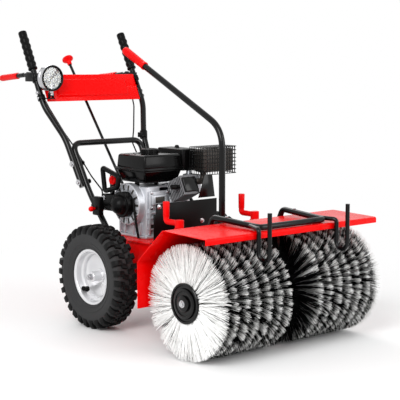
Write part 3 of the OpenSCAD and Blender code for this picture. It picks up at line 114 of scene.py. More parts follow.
class Side(Enum):
    """The two sides of the machine, with the sign of X on each."""

    RIGHT = -1.0
    LEFT = 1.0

    def x(self, value: float) -> float:
        """The X of a distance from the middle plane on this side."""
        return self.value * value

    def node(self, part: str) -> str:
        """The node's name of a part on this side."""
        return f"{self.name.lower()}_{part}"


class Grain(Enum):
    """How a finish is broken up at close range."""

    PEEL = "fine ripple of sprayed paint"
    PEBBLE = "pebbled skin of moulded plastic or sand casting"
    DRAWN = "fine lines of drawn or turned metal"


def linear(colour: Colour) -> tuple[float, float, float, float]:
    """Turn a display colour into the linear one that shaders take.

    Args:
        colour: red, green and blue as seen on a screen, from 0 to 1.

    Returns:
        The linear colour with an alpha of 1.
    """
    parts = [c / 12.92 if c <= 0.04045 else ((c + 0.055) / 1.055) ** 2.4 for c in colour]
    return (parts[0], parts[1], parts[2], 1.0)


def dial(node: Any, values: dict[str, Any]) -> Any:
    """Set sockets of a shader node by their names.

    Args:
        node: the node.
        values: what each named socket is set to.

    Returns:
        The node.
    """
    for socket, value in values.items():
        node.inputs[socket].default_value = value
    return node


def connect(links: Any, *pairs: tuple[Any, Any]) -> None:
    """Link pairs of sockets, each from an output to an input."""
    for source, target in pairs:
        links.new(source, target)


@dataclass(frozen=True)
class AnyFinish:
    """A surface with a name, the record's material slot that it takes, and a colour."""

    name: str
    slot: str
    colour: Colour

    def material(self) -> bpy.types.Material:
        """Build this finish's node material once.

        Returns:
            The material, made on the first call and found again later.
        """
        known = bpy.data.materials.get(self.name)
        if known is not None:
            return known
        made = bpy.data.materials.new(self.name)
        made.use_nodes = True
        made.diffuse_color = linear(self.colour)
        self.wire(made.node_tree.nodes, made.node_tree.links)
        return made

    def wire(self, nodes: Any, links: Any) -> None:
        """Set up the shader, which each kind of finish does in its own way."""
        raise NotImplementedError


@dataclass(frozen=True)
class Finish(AnyFinish):
    """One paint, plastic, rubber or metal, as seen on the new machine."""

    shade: Colour
    roughness: float
    spread: float = 0.06
    metallic: float = 0.0
    coat: float = 0.0
    specular: float = 0.5
    grain: Grain = Grain.PEEL
    cloud_scale: float = 11.0
    grain_scale: float = 420.0
    bump: float = 0.08

    def wire(self, nodes: Any, links: Any) -> None:
        """Let colour and roughness drift in soft clouds, and add the fine relief.

        Args:
            nodes: the material's nodes.
            links: the material's links.
        """
        shader = dial(nodes["Principled BSDF"], {
            "Metallic": self.metallic, "Specular IOR Level": self.specular, "Coat Weight": self.coat,
            "Coat Roughness": 0.06})
        place = nodes.new("ShaderNodeTexCoord").outputs["Object"]
        cloud = dial(nodes.new("ShaderNodeTexNoise"), {"Scale": self.cloud_scale, "Detail": 5.0})
        blend = nodes.new("ShaderNodeMix")
        blend.data_type = "RGBA"
        blend.inputs[6].default_value = linear(self.colour)
        blend.inputs[7].default_value = linear(self.shade)
        rough = dial(nodes.new("ShaderNodeMapRange"), {
            "From Min": 0.3, "From Max": 0.7, "To Min": max(self.roughness - self.spread, 0.03),
            "To Max": min(self.roughness + self.spread, 1.0)})
        relief = dial(nodes.new("ShaderNodeBump"), {"Strength": self.bump, "Distance": 0.0006})
        connect(links, (place, cloud.inputs["Vector"]), (cloud.outputs["Fac"], blend.inputs[0]),
                (blend.outputs[2], shader.inputs["Base Color"]), (cloud.outputs["Fac"], rough.inputs["Value"]),
                (rough.outputs["Result"], shader.inputs["Roughness"]),
                (self._relief(nodes, links, place), relief.inputs["Height"]),
                (relief.outputs["Normal"], shader.inputs["Normal"]))

    def _relief(self, nodes: Any, links: Any, place: Any) -> Any:
        """Add the texture that the fine relief is read from.

        Args:
            nodes: the material's nodes.
            links: the material's links.
            place: the socket with the piece's own coordinates.

        Returns:
            The socket with the height.
        """
        if self.grain is Grain.PEBBLE:
            cells = dial(nodes.new("ShaderNodeTexVoronoi"), {"Scale": self.grain_scale})
            links.new(place, cells.inputs["Vector"])
            return cells.outputs["Distance"]
        speckle = dial(nodes.new("ShaderNodeTexNoise"), {"Scale": self.grain_scale, "Detail": 3.0})
        if self.grain is Grain.DRAWN:
            stretch = dial(nodes.new("ShaderNodeMapping"), {"Scale": (0.08, 1.0, 1.0)})
            links.new(place, stretch.inputs["Vector"])
            place = stretch.outputs["Vector"]
        links.new(place, speckle.inputs["Vector"])
        return speckle.outputs["Fac"]


@dataclass(frozen=True)
class PlainFinish(AnyFinish):
    """A finish whose colour is the same all over: a bristle's filament, a chip with a faint painted glow, or clear
    glass.
    """

    roughness: float
    specular: float = 0.5
    transmission: float = 0.0
    glow: float = 0.0

    def wire(self, nodes: Any, links: Any) -> None:
        """Set every value on the shader's own sockets.

        Args:
            nodes: the material's nodes.
            links: the material's links, which stay as they are.
        """
        tint = linear(self.colour)
        dial(nodes["Principled BSDF"], {
            "Base Color": tint, "Roughness": self.roughness, "Specular IOR Level": self.specular,
            "Transmission Weight": self.transmission, "Emission Color": tint, "Emission Strength": self.glow})


RED_PAINT = Finish("red paint", "red_paint", (0.95, 0.007, 0.006), (0.90, 0.005, 0.005), 0.26,
                   specular=0.10, bump=0.05)
BLACK_PAINT = Finish("black paint", "black_paint", (0.012, 0.012, 0.013), (0.018, 0.018, 0.019), 0.16,
                     specular=0.26, bump=0.06)
SATIN_BLACK = Finish("satin black paint", "black_paint", (0.024, 0.024, 0.025), (0.034, 0.034, 0.036), 0.34,
                     specular=0.10, bump=0.10)
BLACK_PLASTIC = Finish("black plastic", "black_plastic", (0.026, 0.026, 0.027), (0.036, 0.036, 0.038), 0.34,
                       specular=0.10, grain=Grain.PEBBLE, grain_scale=900.0, bump=0.10)
GLOSS_PLASTIC = Finish("gloss black plastic", "black_plastic", (0.012, 0.012, 0.013), (0.02, 0.02, 0.021), 0.16,
                       specular=0.16, bump=0.04)
SOFT_RUBBER = Finish("black rubber", "black_rubber", (0.03, 0.03, 0.03), (0.045, 0.045, 0.045), 0.50,
                     specular=0.10, grain=Grain.PEBBLE, grain_scale=700.0, bump=0.12)
TYRE_RUBBER = Finish("tyre rubber", "tyre_rubber", (0.17, 0.17, 0.175), (0.23, 0.23, 0.23), 0.62, spread=0.1,
                     specular=0.16, grain=Grain.PEBBLE, grain_scale=650.0, bump=0.2)
TREAD_RUBBER = Finish("tread rubber", "tyre_rubber", (0.05, 0.05, 0.052), (0.085, 0.085, 0.085), 0.55, spread=0.1,
                      specular=0.12, grain=Grain.PEBBLE, grain_scale=650.0, bump=0.2)
RED_PLASTIC = Finish("red plastic", "red_plastic", (0.92, 0.02, 0.028), (0.86, 0.014, 0.02), 0.40,
                     specular=0.14, grain=Grain.PEBBLE, grain_scale=800.0, bump=0.08)
CAST_ALLOY = Finish("cast alloy", "cast_alloy", (0.80, 0.81, 0.83), (0.68, 0.69, 0.71), 0.40, spread=0.1,
                    metallic=0.55, grain=Grain.PEBBLE, grain_scale=520.0, bump=0.35)
FIN_ALLOY = Finish("dark cast alloy", "cast_alloy", (0.46, 0.46, 0.47), (0.36, 0.36, 0.37), 0.40, spread=0.1,
                   metallic=0.6, grain=Grain.PEBBLE, grain_scale=520.0, bump=0.3)
STEEL = Finish("zinc steel", "steel", (0.82, 0.82, 0.83), (0.72, 0.72, 0.73), 0.26, metallic=0.95,
               grain=Grain.DRAWN, grain_scale=900.0, bump=0.08)
MUFFLER_STEEL = Finish("muffler steel", "muffler_steel", (0.20, 0.19, 0.185), (0.28, 0.26, 0.24), 0.48,
                       spread=0.12, metallic=0.6, bump=0.2)
RIM_SILVER = Finish("rim silver", "rim_silver", (0.90, 0.90, 0.905), (0.83, 0.83, 0.84), 0.30, metallic=0.5,
                    coat=0.3, bump=0.05)
LAMP_SHELL = Finish("lamp shell", "lamp_shell", (0.80, 0.80, 0.81), (0.70, 0.70, 0.71), 0.20, metallic=0.9,
                    grain=Grain.DRAWN, grain_scale=700.0, bump=0.05)
LAMP_PLATE = Finish("lamp plate", "lamp_shell", (0.93, 0.93, 0.93), (0.86, 0.86, 0.87), 0.34, metallic=0.25,
                    bump=0.04)
WHITE_BRISTLE = PlainFinish("white bristle", "bristle", (0.99, 0.99, 0.985), 0.5, specular=0.3)
GREY_BRISTLE = PlainFinish("grey bristle", "bristle", (0.84, 0.84, 0.83), 0.5, specular=0.3)
BLACK_BRISTLE = PlainFinish("black bristle", "bristle", (0.015, 0.015, 0.016), 0.6, specular=0.06)
LAMP_GLASS = PlainFinish("lamp glass", "lamp_glass", (0.97, 0.98, 0.98), 0.04, transmission=1.0)
# The chips glow faintly though the lamp is not lit: painted light that makes them look bright white.
PAINTED_GLOW_CHIP = PlainFinish("light chip", "lamp_glass", (0.98, 0.97, 0.90), 0.35, glow=0.12)


class Bench:
    """Modelling steps on one mesh at a time, as they are done by hand in edit mode."""

    @staticmethod
    def clear() -> None:
        """Leave edit mode and deselect everything."""
        if bpy.context.mode != "OBJECT":
            bpy.ops.object.mode_set(mode="OBJECT")
        bpy.ops.object.select_all(action="DESELECT")

    @staticmethod
    def hold(piece: Object) -> Object:
        """Select one piece alone and make it the active one.

        Args:
            piece: the piece.

        Returns:
            The same piece.
        """
        Bench.clear()
        piece.select_set(True)
        bpy.context.view_layer.objects.active = piece
        return piece

    @staticmethod
    def edit(piece: Object) -> None:
        """Open a piece in edit mode with all of its mesh selected.

        Args:
            piece: the piece.
        """
        Bench.hold(piece)
        bpy.ops.object.mode_set(mode="EDIT")
        bpy.ops.mesh.select_all(action="SELECT")

    @staticmethod
    def done(piece: Object) -> Object:
        """Close edit mode and return the piece."""
        bpy.ops.object.mode_set(mode="OBJECT")
        return piece

    @staticmethod
    def settle(name: str) -> Object:
        """Name the primitive that was just added and move its place into its mesh.

        Args:
            name: the piece's name.

        Returns:
            The piece, at the origin, unturned and unscaled.
        """
        piece = bpy.context.view_layer.objects.active
        bpy.ops.object.transform_apply(location=True, rotation=True, scale=True)
        piece.name = name
        piece.data.name = name
        return piece

    @staticmethod
    def place(name: str, data: Any) -> Object:
        """Put new data into the scene as an object.

        Args:
            name: the object's name.
            data: its mesh, curve, camera or lamp.

        Returns:
            The object.
        """
        piece = bpy.data.objects.new(name, data)
        bpy.context.scene.collection.objects.link(piece)
        return piece

    @staticmethod
    def outward(piece: Object, weld: float = 0.0) -> Object:
        """Turn all of a piece's faces outwards.

        Args:
            piece: the piece.
            weld: points nearer than this become one first, or zero for none.

        Returns:
            The piece.
        """
        Bench.edit(piece)
        if weld > 0.0:
            bpy.ops.mesh.remove_doubles(threshold=weld)
        bpy.ops.mesh.normals_make_consistent(inside=False)
        return Bench.done(piece)

    @staticmethod
    def from_points(name: str, points: Sequence[Vector], edges: Sequence, faces: Sequence) -> Object:
        """Make a mesh object from its points.

        Args:
            name: the piece's name.
            points: the places of its points.
            edges: pairs of point numbers, for a profile.
            faces: lists of point numbers.

        Returns:
            The new piece.
        """
        mesh = bpy.data.meshes.new(name)
        mesh.from_pydata([tuple(p) for p in points], list(edges), list(faces))
        return Bench.place(name, mesh)

    @staticmethod
    def bevel(piece: Object, width: float, segments: int = 2, angle: float = EDGE_ANGLE) -> Object:
        """Round a piece's sharp edges with an applied bevel.

        Args:
            piece: the piece.
            width: the width of the rounding.
            segments: faces across the rounding.
            angle: edges sharper than this are rounded.

        Returns:
            The piece.
        """
        Bench.hold(piece)
        rounding = piece.modifiers.new("rounding", "BEVEL")
        rounding.width = width
        rounding.segments = segments
        rounding.limit_method = "ANGLE"
        rounding.angle_limit = angle
        rounding.use_clamp_overlap = False
        bpy.ops.object.modifier_apply(modifier=rounding.name)
        return piece

    @staticmethod
    def smooth(piece: Object, angle: float = EDGE_ANGLE) -> Object:
        """Shade a piece smooth except over its sharp edges.

        Args:
            piece: the piece.
            angle: edges that turn by more than this stay sharp.

        Returns:
            The same piece.
        """
        Bench.hold(piece)
        bpy.ops.object.shade_smooth_by_angle(angle=angle)
        return piece

    @staticmethod
    def block(name: str, low: Sequence[float], high: Sequence[float], bevel: float = 0.001,
              segments: int = 2, top_share: Sequence[float] = (1.0, 1.0)) -> Object:
        """Model a block from a cube, drawn in towards its top and rounded.

        Args:
            name: the piece's name.
            low: its lowest corner.
            high: its highest corner.
            bevel: the width of its rounded edges.
            segments: faces across each rounding.
            top_share: the size of the top, along X and Y, as a share of the bottom.

        Returns:
            The block.
        """
        Bench.clear()
        a, b = Vector(low), Vector(high)
        middle = (a + b) / 2
        bpy.ops.mesh.primitive_cube_add(size=1.0, location=middle, scale=b - a)
        piece = Bench.settle(name)
        for v in piece.data.vertices:
            if v.co.z > middle.z:
                v.co.x = middle.x + (v.co.x - middle.x) * top_share[0]
                v.co.y = middle.y + (v.co.y - middle.y) * top_share[1]
        return Bench.smooth(Bench.bevel(piece, bevel, segments))

    @staticmethod
    def rod(name: str, start: Vector, end: Vector, radius: float, sides: int = 32,
            bevel: float = 0.0008) -> Object:
        """Model a straight round or many-sided rod with rounded ends.

        Args:
            name: the piece's name.
            start: the middle of one end.
            end: the middle of the other end.
            radius: its radius.
            sides: sides of its section, 6 for a hexagon.
            bevel: the width of its rounded edges.

        Returns:
            The rod.
        """
        Bench.clear()
        way = Vector(end) - Vector(start)
        turn = way.to_track_quat("Z", "Y").to_euler()
        bpy.ops.mesh.primitive_cylinder_add(vertices=sides, radius=radius, depth=way.length,
                                            location=(Vector(start) + Vector(end)) / 2, rotation=turn)
        piece = Bench.settle(name)
        if bevel > 0.0:
            Bench.bevel(piece, bevel, 2, ROD_ANGLE)
        return Bench.smooth(piece)

    @staticmethod
    def turned(name: str, profile: Profile, centre: Vector, axis: Vector, steps: int = 64,
               closed: bool = False) -> Object:
        """Spin a profile about an axis.

        Args:
            name: the piece's name.
            profile: pairs of radius and distance along the axis.
            centre: the place on the axis where the distance is zero.
            axis: the direction of the axis.
            steps: faces around.
            closed: True if the profile is a closed loop clear of the axis.

        Returns:
            The turned piece.
        """
        way = Vector(axis).normalized()
        across = way.orthogonal().normalized()
        points = [Vector(centre) + way * along + across * radius for radius, along in profile]
        count = len(points)
        edges = [(i, i + 1) for i in range(count - 1)]
        if closed:
            edges.append((count - 1, 0))
        piece = Bench.from_points(name, points, edges, [])
        Bench.edit(piece)
        bpy.ops.mesh.spin(steps=steps, angle=math.tau, center=tuple(centre), axis=tuple(way))
        return Bench.smooth(Bench.outward(piece, WELD))

    @staticmethod
    def tube(name: str, path: Sequence[Vector], radius: float, resolution: int = 8,
             closed: bool = False) -> Object:
        """Sweep a round section along a path.

        Args:
            name: the piece's name.
            path: the points of the middle line.
            radius: the section's radius.
            resolution: how finely the section is divided.
            closed: True if the path's end runs on into its start.

        Returns:
            The tube as a mesh, with closed ends unless it is a loop.
        """
        line = bpy.data.curves.new(name, "CURVE")
        line.dimensions = "3D"
        line.bevel_depth = radius
        line.bevel_resolution = resolution
        line.use_fill_caps = True
        run = line.splines.new("POLY")
        run.points.add(len(path) - 1)
        for point, place in zip(run.points, path):
            point.co = (*place, 1.0)
        run.use_cyclic_u = closed
        Bench.hold(Bench.place(name, line))
        bpy.ops.object.convert(target="MESH")
        piece = bpy.context.view_layer.objects.active
        piece.name = name
        return Bench.smooth(Bench.outward(piece, WELD), TUBE_ANGLE)

    @staticmethod
    def join(name: str, parts: Sequence[Object]) -> Object:
        """Join parts into one piece.

        Args:
            name: the joined piece's name.
            parts: the parts, which end as one mesh.

        Returns:
            The joined piece.
        """
        Bench.clear()
        for part in parts:
            part.select_set(True)
        bpy.context.view_layer.objects.active = parts[0]
        if len(parts) > 1:
            bpy.ops.object.join()
        parts[0].name = name
        parts[0].data.name = name
        return parts[0]

    @staticmethod
    def copy(piece: Object, move: Matrix) -> Object:
        """Copy a piece with a mesh of its own, moved into place.

        Args:
            piece: the piece to copy.
            move: where the copy goes.

        Returns:
            The copy, at the origin with its place in its mesh.
        """
        twin = Bench.place(piece.name, piece.data.copy())
        twin.data.transform(move)
        if move.determinant() < 0:
            twin.data.flip_normals()
        return twin

    @staticmethod
    def around(piece: Object, count: int, centre: Vector, axis: Vector, first: float = 0.0) -> list[Object]:
        """Copy a piece in a ring.

        Args:
            piece: the piece, which becomes part of the ring.
            count: pieces in the ring.
            centre: a place on the ring's axis.
            axis: the direction of the ring's axis.
            first: the angle of the first one, in radians.

        Returns:
            The pieces of the ring.
        """
        ring = []
        for k in range(count):
            turn = Matrix.Rotation(first + math.tau * k / count, 4, axis)
            ring.append(Bench.copy(piece, Matrix.Translation(centre) @ turn @ Matrix.Translation(-centre)))
        bpy.data.objects.remove(piece)
        return ring

    @staticmethod
    def paint(piece: Object, finish: AnyFinish) -> Object:
        """Give a part its finish, before it is joined to others.

        Args:
            piece: the part.
            finish: its finish.

        Returns:
            The same part.
        """
        piece.data.materials.clear()
        piece.data.materials.append(finish.material())
        return piece


def rounded_path(points: Sequence[Vector], bend: float, steps: int = 8) -> list[Vector]:
    """Round the corners of a path.

    Args:
        points: the corners and ends.
        bend: how far from each corner the bend starts.
        steps: pieces in each bend.

    Returns:
        The points of the rounded path.
    """
    path = [points[0]]
    for before, corner, after in zip(points, points[1:], points[2:]):
        start = corner + (before - corner).normalized() * bend
        end = corner + (after - corner).normalized() * bend
        for k in range(steps + 1):
            s = k / steps
            path.append(start * (1 - s) ** 2 + corner * 2 * s * (1 - s) + end * s ** 2)
    path.append(points[-1])
    return path


class Shop:
    """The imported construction, and the way in which each finished piece is fitted to it."""

    def __init__(self) -> None:
        """Load the construction and note its box and which body each node rides on."""
        self.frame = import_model()
        self.cad_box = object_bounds()
        bodies = self.frame["record"]["behaviour"]["bodies"]
        self.body_of = {node: body for body, nodes in bodies.items() for node in nodes}
        self.axle = self.middle("axle_shaft")
        self.brush = self.middle("brush_shaft")

    def low(self, node: str) -> Vector:
        """The lowest corner of a node."""
        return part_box(node)[0]

    def middle(self, node: str) -> Vector:
        """The middle of a node's box."""
        low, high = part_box(node)
        return (low + high) / 2

    def fit(self, piece: Object, finish: AnyFinish, body: str, *nodes: str) -> Object:
        """Finish a piece and let it ride on its body.

        Args:
            piece: the piece, at the origin with its place in its mesh.
            finish: its finish, kept only where the piece has none yet.
            body: the body that it moves with.
            *nodes: the construction's nodes that it stands for.

        Returns:
            The piece.
        """
        if not piece.data.materials:
            Bench.paint(piece, finish)
        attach(piece, body)
        if nodes:
            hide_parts(*nodes)
        LOG.info("%s: %d faces on %s", piece.name, len(piece.data.polygons), body)
        return piece

    def stand_in(self, piece: Object, finish: AnyFinish, *nodes: str) -> Object:
        """Fit a piece that stands for nodes, on the first node's own body, and return it."""
        return self.fit(piece, finish, self.body_of[nodes[0]], *nodes)

    def edged(self, node: str, finish: AnyFinish, width: float, segments: int = 2) -> Object:
        """Dress a copy of a node: merge its mesh, round its edges and finish it.

        Args:
            node: the node.
            finish: its finish.
            width: the width of its rounded edges.
            segments: faces across each rounding.

        Returns:
            The dressed copy, which stands for the node.
        """
        piece = Bench.place(f"{node}.edged", self.frame["nodes"][node].data.copy())
        piece.data.materials.clear()
        Bench.edit(piece)
        bpy.ops.mesh.customdata_custom_splitnormals_clear()
        bpy.ops.mesh.remove_doubles(threshold=MERGE)
        bpy.ops.mesh.dissolve_limited(angle_limit=FLAT_ANGLE)
        Bench.done(piece)
        Bench.bevel(piece, width, segments)
        Bench.smooth(piece)
        return self.stand_in(piece, finish, node)

    def dress(self, *rows: tuple) -> None:
        """Dress copies of several nodes, each row with what one call of edged takes."""
        for row in rows:
            self.edged(*row)

    def bolt(self, at: Vector, axis: Vector, radius: float, height: float, washer: float = 0.0) -> Object:
        """Model a hexagon bolt head on its washer.

        Args:
            at: the middle of the seat.
            axis: the direction that the head points in.
            radius: the head's radius over its corners.
            height: the head's height over the seat.
            washer: the washer's radius, or zero for none.

        Returns:
            The bolt, in zinc steel.
        """
        way = Vector(axis).normalized()
        seat = Vector(at)
        parts = []
        if washer > 0.0:
            thick = height * 0.22
            parts.append(Bench.rod("washer", seat, seat + way * thick, washer, 32, washer * 0.06))
            seat = seat + way * thick
        parts.append(Bench.rod("head", seat, Vector(at) + way * height, radius, 6, radius * 0.12))
        return Bench.paint(Bench.join("bolt", parts), STEEL)


@dataclass
class Studio:
    """Pale floor, soft light and the camera at the photograph's place."""

    camera_at: Sequence[float] = (-3.0088, -3.6094, 1.0480)
    azimuth: float = -41.5
    looking_down: float = 6.8
    focal_px: float = 1170.4
    image_px: float = 400.0
    sensor: float = 36.0
    far_clip: float = 100.0
    floor_half: float = 14.0
    floor_grey: float = 0.93
    shadow_reach: float = 1.9
    shadow_core: float = 0.45
    world_light: float = 0.62
    lamp_aim: Sequence[float] = (0.0, -0.2, 0.4)

    def build(self) -> None:
        """Set up the view, the light and the floor."""
        self.camera()
        self.world()
        self.lamps()
        self.floor()

    @staticmethod
    def stand(name: str, data: Any, at: Sequence[float], way: Vector) -> Object:
        """Put a camera or a lamp in its place.

        Args:
            name: its name.
            data: the camera's or the lamp's own data.
            at: where it stands.
            way: the direction that it looks in.

        Returns:
            The object.
        """
        piece = Bench.place(name, data)
        piece.location = at
        piece.rotation_mode = "QUATERNION"
        piece.rotation_quaternion = way.to_track_quat("-Z", "Y")
        return piece

    def camera(self) -> None:
        """Stand the camera where the photograph was taken from."""
        data = bpy.data.cameras.new("camera")
        data.sensor_width = self.sensor
        data.lens = self.focal_px / self.image_px * self.sensor
        data.clip_end = self.far_clip
        turn, drop = math.radians(self.azimuth), math.radians(self.looking_down)
        back = Vector((math.sin(turn) * math.cos(drop), -math.cos(turn) * math.cos(drop), math.sin(drop)))
        bpy.context.scene.camera = self.stand("camera", data, self.camera_at, -back)
        bpy.context.scene.view_settings.view_transform = "Standard"

    def world(self) -> None:
        """White surroundings for the eye and for reflections, and a plain level of light from them."""
        world = bpy.data.worlds.new("surroundings")
        bpy.context.scene.world = world
        world.use_nodes = True
        nodes = world.node_tree.nodes
        light = dial(nodes["Background"], {"Color": WHITE, "Strength": self.world_light})
        white = dial(nodes.new("ShaderNodeBackground"), {"Color": WHITE, "Strength": 1.0})
        ray = nodes.new("ShaderNodeLightPath")
        seen, through = nodes.new("ShaderNodeMath"), nodes.new("ShaderNodeMath")
        seen.operation = through.operation = "ADD"
        through.use_clamp = True
        mix = nodes.new("ShaderNodeMixShader")
        connect(world.node_tree.links, (ray.outputs["Is Camera Ray"], seen.inputs[0]),
                (ray.outputs["Is Glossy Ray"], seen.inputs[1]), (seen.outputs[0], through.inputs[0]),
                (ray.outputs["Is Transmission Ray"], through.inputs[1]), (through.outputs[0], mix.inputs[0]),
                (light.outputs[0], mix.inputs[1]), (white.outputs[0], mix.inputs[2]),
                (mix.outputs[0], nodes["World Output"].inputs["Surface"]))

    def lamps(self) -> None:
        """Three soft lamps: one on the near side, one fill and one from behind."""
        for name, place, size, watts in (
            ("key", (-3.3, -1.9, 2.7), 2.2, 120.0),
            ("fill", (1.6, -3.8, 1.8), 2.4, 60.0),
            ("back", (1.2, 3.2, 3.4), 2.4, 55.0),
        ):
            data = bpy.data.lights.new(name, "AREA")
            data.size = size
            data.energy = watts
            self.stand(name, data, place, Vector(self.lamp_aim) - Vector(place))

    def floor(self) -> None:
        """Lay a white floor that keeps the shadow near the machine and fades to plain white."""
        Bench.clear()
        bpy.ops.mesh.primitive_plane_add(size=2 * self.floor_half)
        plane = Bench.settle("floor")
        paper = bpy.data.materials.new("floor paper")
        paper.use_nodes = True
        nodes = paper.node_tree.nodes
        grey = self.floor_grey
        shader = dial(nodes["Principled BSDF"], {
            "Base Color": (grey, grey, grey, 1.0), "Roughness": 0.9, "Specular IOR Level": 0.1})
        place = nodes.new("ShaderNodeTexCoord")
        far = nodes.new("ShaderNodeVectorMath")
        far.operation = "LENGTH"
        fade = nodes.new("ShaderNodeMapRange")
        fade.interpolation_type = "SMOOTHSTEP"
        dial(fade, {"From Min": self.shadow_reach * self.shadow_core, "From Max": self.shadow_reach})
        glow = dial(nodes.new("ShaderNodeEmission"), {"Color": WHITE})
        mix = nodes.new("ShaderNodeMixShader")
        connect(paper.node_tree.links, (place.outputs["Object"], far.inputs[0]),
                (far.outputs["Value"], fade.inputs["Value"]), (fade.outputs["Result"], mix.inputs[0]),
                (shader.outputs[0], mix.inputs[1]), (glow.outputs[0], mix.inputs[2]),
                (mix.outputs[0], nodes["Material Output"].inputs["Surface"]))
        plane.data.materials.append(paper)
        plane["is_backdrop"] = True


@dataclass
class BrushRotor:
    """Two brush halves of ringed bristle on one shaft, with their end plates."""

    shop: Shop
    rings: int = 14
    tufts: int = 54
    strands: int = 27
    strand_radius: float = 0.0013
    tip_share: float = 0.40
    core_radius: float = 0.070
    core_bore: float = 0.0155
    root_sink: float = 0.003
    clump: float = 0.20
    even: float = 0.62
    tuft_jitter: float = 0.16
    tuft_spread: float = 0.12
    tip_spread: float = 0.09
    length_spread: float = 0.0055
    white_share: float = 0.55
    white_drop: float = 0.0035
    grey_share: float = 0.10
    end_grey_share: float = 0.02
    plate_height: float = 0.0152
    seed: int = 7

    def build(self) -> None:
        """Make both halves, the drum inside each and the end plates."""
        for side in Side:
            self.half(side)
        self.end_plates()
        self.shop.edged("brush_shaft", STEEL, 0.001)

    def half(self, side: Side) -> None:
        """Make one half: rings of white and of black tufts, one after the other.

        Args:
            side: the side of the machine.
        """
        node = side.node("brush")
        low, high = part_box(node)
        inner, outer = sorted((abs(low.x), abs(high.x)))
        reach = (high.z - low.z) / 2
        rng = np.random.default_rng(self.seed + (side is Side.LEFT))
        width = (outer - inner) / self.rings
        pitch = math.tau / self.tufts
        roots, tips, tones = [], [], []
        for ring in range(self.rings):
            white = ring % 2 == 0
            slim = white and ring > 0
            middle = outer - (ring + 0.5) * width
            jitter = rng.uniform(0, 1) + rng.normal(0, self.tuft_jitter, self.tufts)
            angle = np.repeat((np.arange(self.tufts) + jitter) * pitch, self.strands)
            count = len(angle)
            along = middle + rng.uniform(-0.5, 0.5, count) * width * (self.white_share if slim else 1.0)
            spread = np.repeat(rng.normal(0, self.tuft_spread, self.tufts) * width, self.strands)
            tip_along = np.clip(along + spread + rng.normal(0, self.tip_spread, count) * width, inner, outer)
            root_angle = angle + rng.uniform(-0.5, 0.5, count) * pitch
            loose = self.clump if slim or ring == self.rings - 1 else self.even
            tip_angle = angle + rng.normal(0, loose, count) * pitch
            length = reach - np.abs(rng.normal(0, self.length_spread, count)) - (self.white_drop if slim else 0.0)
            for store, at, turn, far in (
                (roots, along, root_angle, np.full(count, self.core_radius - self.root_sink)),
                (tips, tip_along, tip_angle, length),
            ):
                store.append(np.stack([side.value * at, far * np.cos(turn), far * np.sin(turn)], 1))
            grey = self.grey_share if ring else self.end_grey_share
            tones.append(np.where(rng.random(count) < grey, 1, 0) if white else np.full(count, 2))
        bristles = self.strand_mesh(f"{node}.bristles", np.concatenate(roots), np.concatenate(tips),
                                    np.concatenate(tones))
        section = [(self.core_bore, inner), (self.core_radius, inner), (self.core_radius, outer),
                   (self.core_bore, outer)]
        drum = Bench.turned("drum", section, self.shop.brush, X_AXIS * side.value, 48, True)
        piece = Bench.join(f"{node}.bristles", [bristles, Bench.paint(drum, BLACK_PLASTIC)])
        self.shop.stand_in(piece, WHITE_BRISTLE, node)

    def strand_mesh(self, name: str, roots: np.ndarray, tips: np.ndarray, tones: np.ndarray) -> Object:
        """Draw every strand as a slim three-sided spike.

        Args:
            name: the piece's name.
            roots: where each strand leaves the drum, from the brush axis.
            tips: where each strand ends.
            tones: the number of each strand's colour.

        Returns:
            The strands as one mesh.
        """
        count = len(roots)
        way = tips - roots
        way /= np.linalg.norm(way, axis=1)[:, None]
        across = np.cross(way, np.array([1.0, 0.0, 0.0]))
        across /= np.linalg.norm(across, axis=1)[:, None]
        third = np.cross(way, across)
        corners = []
        for base, radius in ((roots, self.strand_radius), (tips, self.strand_radius * self.tip_share)):
            for k in range(3):
                turn = math.tau * k / 3
                corners.append(base + radius * (math.cos(turn) * across + math.sin(turn) * third))
        points = np.stack(corners, 1).reshape(-1, 3) + np.array(self.shop.brush)
        first = np.arange(count) * 6
        quads = [np.stack([first + k, first + (k + 1) % 3, first + 3 + (k + 1) % 3, first + 3 + k], 1)
                 for k in range(3)]
        ends = [np.stack([first + 2, first + 1, first], 1), np.stack([first + 3, first + 4, first + 5], 1)]
        faces = [f.tolist() for f in (*quads, *ends)]
        piece = Bench.from_points(name, points.tolist(), [], [face for group in faces for face in group])
        for finish in (WHITE_BRISTLE, GREY_BRISTLE, BLACK_BRISTLE):
            piece.data.materials.append(finish.material())
        piece.data.polygons.foreach_set("material_index", np.tile(tones, 5).astype(np.int32))
        piece.data.update()
        return piece

    def end_plates(self) -> None:
        """Turn the two stepped black end plates, each with its bolt."""
        low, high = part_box("end_plates")
        radius = (high.z - low.z) / 2
        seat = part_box("left_brush")[1].x
        steps = [(0.0, 0.0), (1.0, 0.0), (1.0, 0.0048), (0.975, 0.0066), (0.885, 0.0068), (0.855, 0.0026),
                 (0.765, 0.0024), (0.735, 0.0082), (0.70, 0.0096), (0.60, 0.0098), (0.575, 0.0066),
                 (0.42, 0.0062), (0.39, 0.0128), (0.34, 0.0148), (0.20, self.plate_height),
                 (0.0, self.plate_height)]
        profile = [(share * radius, along) for share, along in steps]
        plates, bolts = [], []
        for side in Side:
            way = X_AXIS * side.value
            at = Vector((side.x(seat), self.shop.brush.y, self.shop.brush.z))
            plates.append(Bench.turned("plate", profile, at, way, 72))
            bolts.append(self.shop.bolt(at + way * self.plate_height, way, 0.0105, 0.0068, 0.0135))
        self.shop.stand_in(Bench.join("brush_end_plates", plates), BLACK_PAINT, "end_plates")
        self.shop.fit(Bench.join("brush_end_bolts", bolts), STEEL, "brush_rotor")


